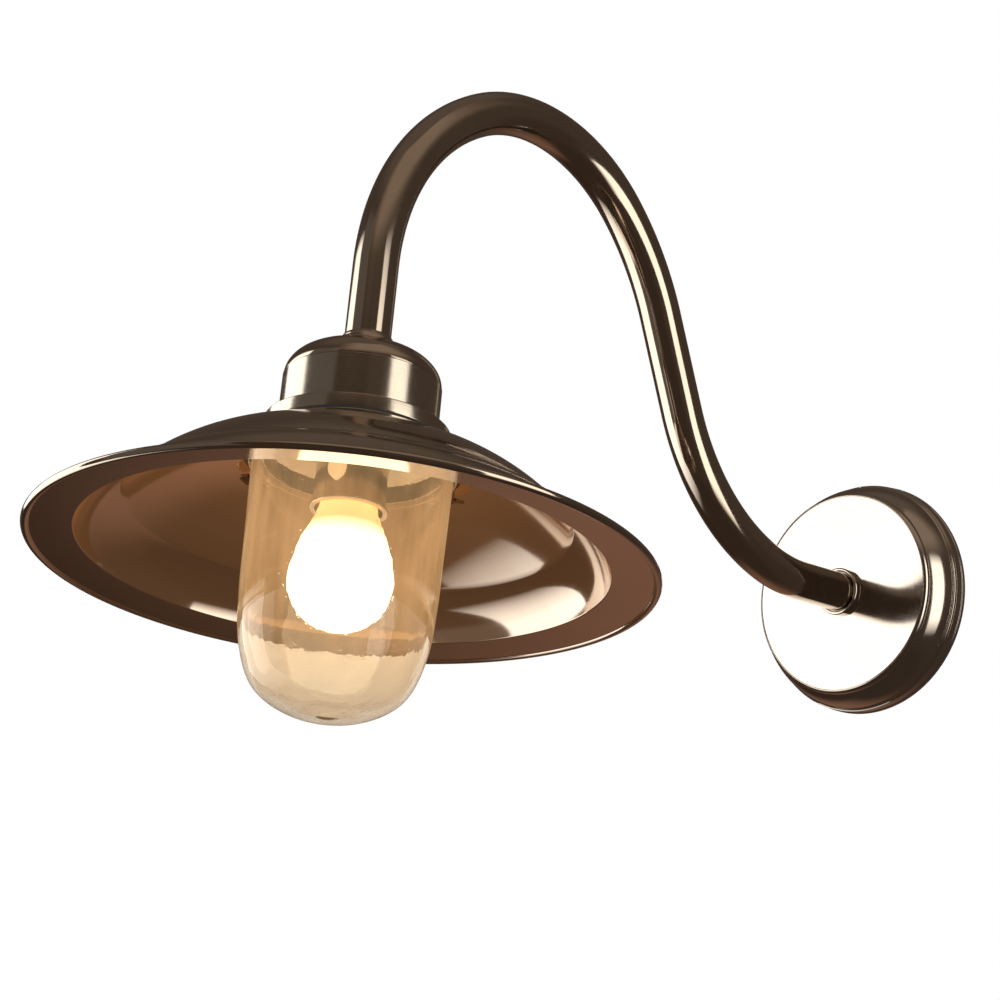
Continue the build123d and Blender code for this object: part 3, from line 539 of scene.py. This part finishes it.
sheath = plain("cable_sheath", (0.78, 0.76, 0.72), (0.70, 0.68, 0.64), 0.5)
porcelain = plain("porcelain", (0.86, 0.83, 0.76), (0.78, 0.75, 0.68), 0.4)
insulator = plain("insulator_glass", (0.03, 0.025, 0.022), (0.015, 0.012, 0.010), 0.2)
wire = plain("filament_metal", (0.35, 0.33, 0.31), (0.22, 0.21, 0.20), 0.4, metal=1.0)
# The earth tag glows with painted warm light from the bulb.
painted_glow_tag_tin = plain("painted_glow_tag_tin", (0.85, 0.76, 0.58), (0.72, 0.62, 0.45), 0.35, glow=(0.62, 0.46, 0.26))
glass = jar_glass()
pearl = bulb_glass()

FINISH_OF_SLOT = {
    "polished_nickel": polished,
    "brushed_nickel": brushed,
    "zinc_plate": zinc,
    "nut_brass": brass,
    "gasket_rubber": rubber,
    "terminal_plastic": plastic,
    "cable_sheath": sheath,
    "jar_glass": glass,
    "porcelain": porcelain,
    "bulb_glass": pearl,
    "insulator_glass": insulator,
    "filament_metal": wire,
}
FINISH_OF_NODE = {"earth_tag": painted_glow_tag_tin}
slot_of = {part["node"]: part["material_slot"] for part in frame["record"]["subparts"]}
for node_name, node_object in frame["nodes"].items():
    finish = FINISH_OF_NODE.get(node_name, FINISH_OF_SLOT[slot_of[node_name]])
    node_object.data.materials.clear()
    node_object.data.materials.append(finish)


# ================================================================= wall plate
ARM_HOLE = 12.6              # radius of each hole that the arm passes
PLATE_RADIUS = 75.0
PLATE_BACK = 1.2             # where its edge sits on the gasket
PLATE_FACE = 30.3
PLATE_SHEET = 1.2
PLATE_STEPS = [(PLATE_RADIUS, 3.2), (74.5, 3.7), (74.5, 9.2), (73.6, 9.7), (73.6, 11.7)]
PLATE_SHOULDER = [(72.9, 12.2), (70.65, 19.4), (65.8, 26.6)]
PLATE_BEAD = [(65.8, 26.6), (65.2, 29.2), (63.9, PLATE_FACE)]
PLATE_GROOVE = [(63.6, 29.8), (63.2, PLATE_FACE)]
PLATE_INSIDE = [(61.7, 29.1), (69.45, 19.4), (71.7, 12.2)]
FERRULE_RADIUS = 15.4
FERRULE_MOUTH = 13.0
FERRULE_SHOULDER = 33.6
FERRULE_TOP = 34.9
FERRULE_FLOOR = 32.2


def build_wall_plate():
    foot = [(PLATE_INSIDE[-1][0], PLATE_BACK), (PLATE_RADIUS, PLATE_BACK)]
    shoulder = arc(*PLATE_SHOULDER, steps=20)
    bead = arc(*PLATE_BEAD, steps=10)[1:]
    face = [(ARM_HOLE, PLATE_FACE), (ARM_HOLE, PLATE_FACE - PLATE_SHEET)]
    inside = arc(*PLATE_INSIDE, steps=12)
    outline = eased(foot + PLATE_STEPS + shoulder + bead + PLATE_GROOVE + face + inside, radius=0.25)
    bm = spun(outline, WALL_STEPS)
    finished("wall_plate_spun", bm, WALL, "fixture", wall_polished, "wall_plate")


def build_ferrule():
    lip_top = ((FERRULE_RADIUS + FERRULE_MOUTH) / 2, FERRULE_TOP)
    outline = [(ARM_HOLE, PLATE_FACE), (FERRULE_RADIUS, PLATE_FACE)]
    outline += arc((FERRULE_RADIUS, FERRULE_SHOULDER), lip_top, (FERRULE_MOUTH, FERRULE_SHOULDER), steps=14)
    outline += [(FERRULE_MOUTH, FERRULE_FLOOR), (ARM_HOLE, FERRULE_FLOOR)]
    bm = spun(eased(outline, radius=0.2, least_turn=40), SMALL_STEPS)
    finished("arm_ferrule_turned", bm, WALL, "fixture", wall_polished, "arm_ferrule")


# ======================================================================== arm
def build_arm():
    bm = bmesh.new()
    start = Matrix.Translation((0, -TUBE_TAIL * MM, 0)) @ WALL
    circle = bmesh.ops.create_circle(bm, segments=TUBE_SIDES, radius=TUBE_RADIUS * MM, matrix=start)
    edges = list({edge for vert in circle["verts"] for edge in vert.link_edges})
    for turn, vector in ARM_STRETCHES:
        if turn:
            verts = list({vert for edge in edges for vert in edge.verts})
            steps = max(LEAST_BEND_STEPS, round(abs(math.degrees(turn))))
            made = bmesh.ops.spin(
                bm, geom=verts + edges, cent=vector, axis=(1, 0, 0), angle=turn, steps=steps
            )["geom_last"]
        else:
            made = bmesh.ops.extrude_edge_only(bm, edges=edges)["geom"]
            verts = [item for item in made if isinstance(item, bmesh.types.BMVert)]
            bmesh.ops.translate(bm, vec=vector, verts=verts)
        edges = [item for item in made if isinstance(item, bmesh.types.BMEdge)]
    bmesh.ops.recalc_face_normals(bm, faces=bm.faces)
    piece = finished("arm_tube_bent", bm, Matrix(), "fixture", tube_polished, "arm_tube")
    wall = piece.modifiers.new("wall", "SOLIDIFY")
    wall.thickness = TUBE_WALL * MM
    wall.offset = -1.0


# =================================================================== lamp cap
STEM_HOLE = 5.05             # for the nipple that holds the cap to the arm
COLLAR_FLANK = [(20.0, 57.2), (16.0, 59.6), (14.2, 64.2)]
COLLAR_LIP = 13.35
COLLAR_TOP = 65.8
CAP_SHEET = 1.2
DOME_MIDDLE = (20.0, 39.5)
DOME_RUN = 22.1
DOME_RISE = 16.5
BAND_RADIUS = 42.4
BAND_FOOT = 14.0
BAND_TOP = 39.5
BAND_EDGE = 0.4
SKIRT_HOLE = 40.05
SKIRT_RADIUS = 49.3
SKIRT_FOOT = 6.5
SKIRT_EDGE = [(49.3, 13.2), (49.07, 13.77), (48.5, 14.0)]
SHADE_WASHER_RADIUS = 49.7
SHADE_TOP = 5.0              # of its neck, under the washer


def build_cap():
    collar = [(ARM_HOLE, CAP_TOP), (COLLAR_FLANK[0][0], CAP_TOP)] + arc(*COLLAR_FLANK, steps=12)
    collar += [(COLLAR_LIP, COLLAR_TOP), (ARM_HOLE, COLLAR_TOP)]
    bm = spun(eased(collar, radius=0.5), SMALL_STEPS)
    finished("stem_collar_turned", bm, LAMP, "fixture", polished, "stem_collar")

    dome = [(STEM_HOLE, CAP_TOP)] + ellipse(DOME_MIDDLE, DOME_RUN, DOME_RISE, 90, 0, steps=28)
    dome += ellipse(DOME_MIDDLE, DOME_RUN - CAP_SHEET, DOME_RISE - CAP_SHEET, 0, 90, steps=20)
    dome += [(STEM_HOLE, CAP_TOP - CAP_SHEET)]
    bm = spun(eased(dome, radius=0.3, least_turn=60))
    finished("cap_dome_spun", bm, LAMP, "fixture", polished, "cap_dome")

    band = [(BAND_RADIUS - CAP_SHEET, BAND_FOOT), (BAND_RADIUS, BAND_FOOT)]
    band += [(BAND_RADIUS, BAND_TOP - BAND_EDGE), (BAND_RADIUS - BAND_EDGE, BAND_TOP)]
    band += [(BAND_RADIUS - CAP_SHEET, BAND_TOP)]
    bm = spun(eased(band, radius=0.25))
    finished("cap_band_turned", bm, LAMP, "fixture", brushed, "cap_band")

    skirt = [(SKIRT_HOLE, SKIRT_FOOT), (SKIRT_RADIUS, SKIRT_FOOT)]
    skirt += arc(*SKIRT_EDGE, steps=8) + [(SKIRT_HOLE, BAND_FOOT)]
    bm = spun(eased(skirt))
    finished("skirt_ring_turned", bm, LAMP, "fixture", brushed, "skirt_ring")

    washer = [(SKIRT_HOLE, SHADE_TOP), (SHADE_WASHER_RADIUS, SHADE_TOP)]
    washer += [(SHADE_WASHER_RADIUS, SKIRT_FOOT), (SKIRT_HOLE, SKIRT_FOOT)]
    bm = spun(eased(washer, radius=0.3), SMALL_STEPS)
    finished("shade_washer_cut", bm, LAMP, "fixture", rubber, "shade_washer")


# ====================================================================== shade
SHADE_NECK = [(48.9, SHADE_TOP), (50.1, SHADE_TOP), (50.1, 0.9)]
UPPER_COVE = [(51.0, 0.0), (90.0, -14.0), (117.0, -34.6)]
LOWER_COVE = [(118.8, -35.5), (131.2, -44.3), (139.3, -58.6)]
ROLLED_RIM = [(160.8, -61.35), (165.0, -62.0), (160.8, -62.65)]
LOWER_COVE_INSIDE = [(138.7, -59.8), (130.0, -44.9), (117.6, -36.7)]
UPPER_COVE_INSIDE = [(116.4, -35.8), (89.4, -15.2), (51.0, -1.2)]
NECK_FOOT_INSIDE = (48.9, -0.3)
SHADE_EASE = 1.5
SHADE_LEAST_TURN = 14.0


def build_shade():
    outside = SHADE_NECK + arc(*UPPER_COVE, steps=40) + arc(*LOWER_COVE, steps=24)
    inside = arc(*LOWER_COVE_INSIDE, steps=24) + arc(*UPPER_COVE_INSIDE, steps=40) + [NECK_FOOT_INSIDE]
    outline = outside + arc(*ROLLED_RIM, steps=16) + inside
    bm = spun(eased(outline, SHADE_EASE, SHADE_LEAST_TURN), SHADE_STEPS)
    finished("shade_spun", bm, LAMP, "fixture", painted_light_shade_nickel, "shade")


# ==================================================== gallery and thumbscrews
GALLERY_NECK = [(STEM_HOLE, 33), (40, 33), (40, 5), (48.85, 5), (48.85, -1.2), (51, -1.2)]
GALLERY_BAND_BORE = 56.8
GALLERY_BAND = [(58.3, -3.6), (58.3, -7), (GALLERY_BAND_BORE, -7), (GALLERY_BAND_BORE, -4.4)]
GALLERY_SPIGOT = [(48, -4.4), (48, -11), (46.5, -11), (46.5, -1.1)]
GALLERY_UNDERSIDE = [(38, 5), (38, 30), (STEM_HOLE, 30)]
GLASS_SEAL = [(50.1, -4.4), (55.1, -4.4), (55.1, -5.2), (50.1, -5.2)]
LUG_ANGLES = {"front": -43.0, "right": 77.0, "left": 197.0}
LUG_WIDTH = 11.0
LUG_LENGTH = 8.8
LUG_MIDDLE = -8.8            # height
LUG_FACE = 60.1              # radius
LUG_EDGE = 0.9
SCREW_HEIGHT = -9.0
SCREW_TIP = 55.1             # radius at which it pinches the glass
SCREW_RADIUS = 2.0
SCREW_POINT = 0.5
SCREW_COLLAR_RADIUS = 3.2
SCREW_COLLAR_WIDTH = 1.0
SCREW_COLLAR_GAP = 0.3       # between the lug and the screw's collar
WING_WIDTH = 11.0
WING_THICKNESS = 1.6
WING_LENGTH = 6.5
WING_ROUND = 3.2
WING_EDGE = 0.3
WING_TURNS = {"front": 12.0, "right": 14.0, "left": 8.0}
WING_RIDGE = 1.2             # radians; an edge that turns more is a ridge of the wing


def build_gallery():
    bm = spun(eased(GALLERY_NECK + GALLERY_BAND + GALLERY_SPIGOT + GALLERY_UNDERSIDE, radius=0.3))
    size = (LUG_WIDTH, LUG_LENGTH, LUG_FACE - GALLERY_BAND_BORE)
    for angle in LUG_ANGLES.values():
        lug = block(bm, size, radial(angle, LUG_MIDDLE, (GALLERY_BAND_BORE + LUG_FACE) / 2))
        bevelled(bm, list({edge for vert in lug for edge in vert.link_edges}), LUG_EDGE, segments=3)
    finished("gallery_cast", bm, LAMP, "fixture", brushed, "gallery")

    bm = spun(eased(GLASS_SEAL, radius=0.2), SMALL_STEPS)
    finished("glass_seal_ring", bm, LAMP, "fixture", rubber, "glass_seal")


def build_thumbscrews():
    length = LUG_FACE + SCREW_COLLAR_GAP + SCREW_COLLAR_WIDTH - SCREW_TIP
    collar_back = length - SCREW_COLLAR_WIDTH
    shank = [(0, 0), (SCREW_RADIUS - SCREW_POINT, 0), (SCREW_RADIUS, SCREW_POINT)]
    shank += [(SCREW_RADIUS, collar_back), (SCREW_COLLAR_RADIUS, collar_back)]
    shank += [(SCREW_COLLAR_RADIUS, length), (0, length)]
    wing_middle = Matrix.Translation((0, 0, (length + WING_LENGTH / 2) * MM))
    for side, angle in LUG_ANGLES.items():
        bm = spun(eased(shank, radius=0.2), SCREW_STEPS)
        block(bm, (WING_WIDTH, WING_THICKNESS, WING_LENGTH), wing_middle)
        far = [edge for edge in bm.edges if edge.verts[0].co.z > (length + WING_LENGTH / 2) * MM]
        corners = [edge for edge in far if edge.calc_length() < WING_LENGTH / 2 * MM]
        bevelled(bm, corners, WING_ROUND, segments=8)
        bm.normal_update()
        wing = [edge for edge in bm.edges if edge.verts[0].co.z > length * MM]
        ridges = [edge for edge in wing if edge.calc_face_angle(0) > WING_RIDGE]
        bevelled(bm, ridges, WING_EDGE, segments=2)
        turn = Matrix.Rotation(math.radians(WING_TURNS[side]), 4, "Z")
        place = LAMP @ radial(angle, SCREW_HEIGHT, SCREW_TIP) @ turn
        name = "thumbscrew_" + side
        finished(name + "_turned", bm, place, "screw_" + side, brass, name)


# ================================================================== glass jar
JAR_MOUTH = (50.0, -5.2)
JAR_LIP_RADIUS = 53.0
JAR_LIP_ROUND = 1.8
JAR_LIP_HEIGHTS = (-7.0, -10.4)
JAR_FLANK = [(53.0, -12.2), (52.4, -35.0), (51.75, -58.0), (51.1, -82.0)]
JAR_BASE = [(48.4, -108.0), (39.5, -130.0), (21.0, -142.0), (0.0, -144.8)]
JAR_BASE_INSIDE = [(0.0, -140.8), (19.5, -138.0), (36.5, -128.5), (45.4, -108.0)]
JAR_FLANK_INSIDE = [(48.1, -82.0), (48.75, -58.0), (49.4, -35.0), JAR_MOUTH]


def build_jar():
    upper, lower = ((JAR_LIP_RADIUS, height) for height in JAR_LIP_HEIGHTS)
    lip = ellipse(upper, JAR_LIP_ROUND, JAR_LIP_ROUND, 90, 0, steps=8)
    lip += ellipse(lower, JAR_LIP_ROUND, JAR_LIP_ROUND, 0, -90, steps=8)
    outside = curve(JAR_FLANK + JAR_BASE, steps=10)[1:]
    inside = curve(JAR_BASE_INSIDE + JAR_FLANK_INSIDE, steps=10)[:-1]
    bm = spun([JAR_MOUTH] + lip + outside + inside)
    finished("glass_jar_blown", bm, LAMP, "jar", glass, "glass_jar", sharp=GLASS_SHARP)


# ======================================================== lampholder and bulb
HOLDER_BORE = 17.9
HOLDER_RADIUS = 19.2
HOLDER_TOP = 14.0
HOLDER_LIP = [(20.4, -31.0), (20.95, -32.1), (20.4, -33.2)]
SHELL_RADIUS = 13.9
SHELL_ENDS = (5.0, -21.5)
BULB_WALL = 0.8
BULB_RADIUS = 27.8
BULB_NECK = [(13.9, -22.0), (16.2, -35.0), (23.4, -52.0), (BULB_RADIUS, BULB_HEIGHT)]
BULB_CAP_RADIUS = 13.1
BULB_CAP_RIM = 12.9
BULB_CAP_BORE = 12.5
BULB_CAP_FOOT = -22.0
BULB_CAP_TOP = 1.0
# Each thread: its first and last height, radius, depth and number of turns.
SHELL_THREAD = (-20.5, 4.5, 13.85, 0.2, 7)
BULB_CAP_THREAD = (-19.5, -0.5, BULB_CAP_RADIUS, 0.5, 5)
THREAD_STEPS = 8             # points to one turn


def thread_wave(first, last, radius, depth, turns):
    """A rolled thread's wave from one height to another, as (radius, height)."""
    count = turns * THREAD_STEPS
    heights = [first + (last - first) * i / count for i in range(count + 1)]
    waves = [math.cos(math.tau * i / THREAD_STEPS) for i in range(count + 1)]
    return [(radius - depth / 2 + depth / 2 * wave, height) for wave, height in zip(waves, heights)]


def build_lampholder():
    body = [(HOLDER_BORE, HOLDER_TOP), (HOLDER_RADIUS, HOLDER_TOP), (HOLDER_RADIUS, HOLDER_LIP[0][1])]
    body += arc(*HOLDER_LIP, steps=10) + [(HOLDER_BORE, HOLDER_LIP[-1][1])]
    bm = spun(eased(body, radius=0.3), GLOBE_STEPS)
    finished("holder_body_drawn", bm, LAMP, "fixture", brushed, "holder_body")

    outside = [(SHELL_RADIUS, height) for height in SHELL_ENDS]
    bm = spun(thread_wave(*SHELL_THREAD) + outside, SMALL_STEPS)
    finished("holder_shell_rolled", bm, LAMP, "fixture", brass, "holder_shell")


def build_bulb():
    middle = (0, BULB_HEIGHT)
    inner_radius = BULB_RADIUS - BULB_WALL
    neck_inside = [(radius - BULB_WALL, height) for radius, height in reversed(BULB_NECK)]
    outline = curve(BULB_NECK, steps=12)
    outline += ellipse(middle, BULB_RADIUS, BULB_RADIUS, 0, -90, steps=28)[1:]
    outline += ellipse(middle, inner_radius, inner_radius, -90, 0, steps=20)
    outline += curve(neck_inside, steps=10)[1:]
    bm = spun(outline, GLOBE_STEPS)
    finished("bulb_globe_blown", bm, LAMP, "bulb", pearl, "bulb_globe", sharp=GLASS_SHARP)

    cap = [(BULB_CAP_RADIUS, BULB_CAP_FOOT)] + thread_wave(*BULB_CAP_THREAD)
    cap += [(BULB_CAP_RIM, BULB_CAP_TOP), (BULB_CAP_BORE, BULB_CAP_TOP), (BULB_CAP_BORE, BULB_CAP_FOOT)]
    bm = spun(cap, SMALL_STEPS)
    finished("bulb_cap_rolled", bm, LAMP, "bulb", zinc, "bulb_cap")


build_wall_plate()
build_ferrule()
build_arm()
build_cap()
build_shade()
build_gallery()
build_thumbscrews()
build_jar()
build_lampholder()
build_bulb()


# ======================================================================= stage
# Lengths are in metres here. Seen from the object's middle, a bearing is in degrees
# from +X, and a rise is the height of a place over its level distance.
FLOOR_HEIGHT = -1.1
FLOOR_SIZE = 6.0
STAGE_MIDDLE = -0.3
ROOM_RADIUS = 3.4
ROOM_TOP = 2.6
ROOM_LIFT = 0.02             # keeps the room's floor clear of the paper
OBJECT_MIDDLE = Vector((0, -0.36, 0.05))

# Radiances of what the metal reflects, where 1 is paper white.
ROOM_WALL = (0.080, 0.058, 0.043)
ROOM_LOW = (0.245, 0.128, 0.084)
ROOM_LOW_DIM = (0.048, 0.029, 0.020)
ROOM_LOW_GREY = (0.062, 0.044, 0.033)
ROOM_FLOOR = (0.050, 0.034, 0.024)
ROOM_CEILING = (0.135, 0.105, 0.080)
ROOM_GREY = (0.140, 0.118, 0.098)
ROOM_DARK = (0.055, 0.038, 0.027)
ROOM_GLOW = (0.31, 0.235, 0.175)
CARD_WHITE = (2.3, 2.2, 2.05)
CARD_CREAM = (2.2, 2.05, 1.80)

# Between which bearings or rises one tone of the room gives way to the next.
LOW_BEARINGS = (80, 132)
LOW_DIM_BEARINGS = (152, 134)
FLOOR_RISES = (-1.6, -0.55)
WALL_RISES = (-0.35, 0.1)
CEILING_RISES = (1.0, 2.4)
# Each patch of the room's wall: its bearing, half width and soft edge, then its
# lowest and highest rise and the soft edge of those, and its radiance.
ROOM_PATCHES = (
    ((-107, 25, 1.0), (-0.6, 1.1, 0.12), ROOM_GREY),
    ((-58, 24, 1.0), (-0.9, 0.6, 0.12), ROOM_DARK),
    ((-18, 56, 24), (0.75, 4.0, 0.3), ROOM_GLOW),
)
# Each card: its two ends, its foot and head, how far it dims from each, and its radiance.
CARDS = {
    "card_left": (((-0.40, -0.90), (-1.20, -0.44)), (-1.05, 0.62), (0.75, 0.10), CARD_WHITE),
    "card_right": (((1.22, -0.47), (1.38, 0.23)), (-0.95, 0.85), (0.45, 0.30), CARD_CREAM),
}
# Each softbox: the direction that it shines from, its distance, width and height, and its radiance.
SOFTBOXES = {
    "softbox_left": ((-0.78, -0.55, -0.10), 2.2, (1.9, 2.2), 1.9),
    "softbox_right": ((0.88, 0.30, 0.22), 2.0, (0.9, 1.5), 1.7),
    "softbox_top": ((0.1, -0.1, 1.0), 2.0, (1.4, 0.8), 1.2),
}
SKY_COLOUR = (1.0, 0.97, 0.93, 1)
SKY_STRENGTH = 0.95


def build_floor():
    bm = bmesh.new()
    place = Matrix.Translation((0, STAGE_MIDDLE, FLOOR_HEIGHT))
    bmesh.ops.create_grid(bm, x_segments=2, y_segments=2, size=FLOOR_SIZE, matrix=place)
    paper = plain("floor_paper", (0.86, 0.86, 0.86), (0.84, 0.84, 0.84), 0.9, scale=2.0, relief=0.0)
    linked("floor", bm, paper)


def glowing(name, bm, shader, colour):
    """A glowing stage piece that shows only in reflections."""
    material = shader.finish(shader.node("ShaderNodeEmission", None, {"Color": colour, "Strength": 1.0}))
    piece = linked(name, bm, material)
    piece.visible_camera = False
    piece.visible_diffuse = False
    piece.visible_transmission = False
    piece.visible_shadow = False
    piece.visible_volume_scatter = False


def build_reflected_room():
    """Brown walls whose tone changes with bearing and rise, as the metal in the photograph shows."""
    bm = bmesh.new()
    middle = Matrix.Translation((0, STAGE_MIDDLE, (ROOM_TOP + FLOOR_HEIGHT) / 2 + ROOM_LIFT))
    bmesh.ops.create_cone(
        bm, cap_ends=True, segments=64, radius1=ROOM_RADIUS, radius2=ROOM_RADIUS,
        depth=ROOM_TOP - FLOOR_HEIGHT, matrix=middle,
    )
    shader = shader_for("room_brown")
    x, y, z = shader.split(shader.vector_maths("SUBTRACT", shader.coordinates(), tuple(OBJECT_MIDDLE)))
    rise = z / ((x * x + y * y) ** 0.5)
    bearing = y.maths("ARCTAN2", x)

    def step(value, low, high):
        return shader.remap(value, low, high, "SMOOTHSTEP")

    def patch(towards, half_width, edge, low, high, fade):
        """A mask that is 1 on a patch of the wall."""
        turn = math.radians(towards)
        along = x * math.cos(turn) + y * math.sin(turn)
        across = y * math.cos(turn) - x * math.sin(turn)
        offset = across.maths("ARCTAN2", along).maths("ABSOLUTE")
        inside = step(offset, math.radians(half_width + edge), math.radians(half_width - edge))
        return inside * step(rise, low - fade, low + fade) * step(rise, high + fade, high - fade)

    colour = shader.mix(step(bearing, *map(math.radians, LOW_BEARINGS)), ROOM_LOW_GREY, ROOM_LOW)
    colour = shader.mix(step(bearing, *map(math.radians, LOW_DIM_BEARINGS)), ROOM_LOW_DIM, colour)
    colour = shader.mix(step(rise, *FLOOR_RISES), ROOM_FLOOR, colour)
    colour = shader.mix(step(rise, *WALL_RISES), colour, ROOM_WALL)
    colour = shader.mix(step(rise, *CEILING_RISES), colour, ROOM_CEILING)
    for bearings, rises, tone in ROOM_PATCHES:
        colour = shader.mix(patch(*bearings, *rises), colour, tone)
    glowing("reflected_room", bm, shader, colour)


def build_reflected_card(name, ends, heights, fades, radiance):
    """An upright glowing card between two (x, y) places, dimming towards its foot and its head."""
    low, high = heights
    bm = bmesh.new()
    corners = [(*ends[0], low), (*ends[1], low), (*ends[1], high), (*ends[0], high)]
    bm.faces.new([bm.verts.new(corner) for corner in corners])
    shader = shader_for(name)
    height = shader.split(shader.coordinates())[2]
    foot = shader.remap(height, low, low + fades[0])
    head = shader.remap(height, high, high - fades[1])
    glowing(name, bm, shader, shader.mix(foot * head, ROOM_WALL, radiance))


def build_softbox(name, direction, distance, size, radiance):
    """An area lamp that faces the object, as bright as a card of that radiance."""
    lamp = bpy.data.lights.new(name, "AREA")
    lamp.shape = "RECTANGLE"
    lamp.size, lamp.size_y = size
    lamp.energy = radiance * math.pi * size[0] * size[1]
    lit = bpy.data.objects.new(name, lamp)
    towards = Vector(direction).normalized()
    lit.location = OBJECT_MIDDLE + towards * distance
    lit.rotation_mode = "QUATERNION"
    lit.rotation_quaternion = towards.to_track_quat("Z", "Y")
    lit.visible_glossy = False
    bpy.context.scene.collection.objects.link(lit)


def build_world():
    """White where the camera, the metal or the glass sees it, and soft warm light elsewhere."""
    world = bpy.data.worlds.new("studio")
    bpy.context.scene.world = world
    shader = Shader(world, "ShaderNodeOutputWorld")
    camera_ray = shader.node("ShaderNodeLightPath", out="Is Camera Ray")
    seen = camera_ray + camera_ray.sibling("Is Glossy Ray") + camera_ray.sibling("Is Transmission Ray")
    soft = shader.node("ShaderNodeBackground", None, {"Color": SKY_COLOUR, "Strength": SKY_STRENGTH})
    white = shader.node("ShaderNodeBackground", None, {"Color": (1, 1, 1, 1), "Strength": 1.0})
    sockets = {0: seen.maths("MINIMUM", 1.0), 1: soft, 2: white}
    shader.finish(shader.node("ShaderNodeMixShader", None, sockets))


def build_camera():
    data = bpy.data.cameras.new("camera")
    data.lens = CAMERA_LENS
    data.sensor_width = SENSOR_WIDTH
    camera = bpy.data.objects.new("camera", data)
    azimuth, elevation = math.radians(CAMERA_AZIMUTH), math.radians(CAMERA_ELEVATION)
    level = math.cos(elevation)
    back = Vector((math.sin(azimuth) * level, -math.cos(azimuth) * level, math.sin(elevation)))
    camera.location = CAMERA_PLACE
    camera.rotation_mode = "QUATERNION"
    camera.rotation_quaternion = (-back).to_track_quat("-Z", "Y")
    bpy.context.scene.collection.objects.link(camera)
    bpy.context.scene.camera = camera


build_floor()
build_reflected_room()
for card_name, card in CARDS.items():
    build_reflected_card(card_name, *card)
for softbox_name, softbox in SOFTBOXES.items():
    build_softbox(softbox_name, *softbox)
build_world()
build_camera()
bpy.context.scene.view_settings.view_transform = "Standard"
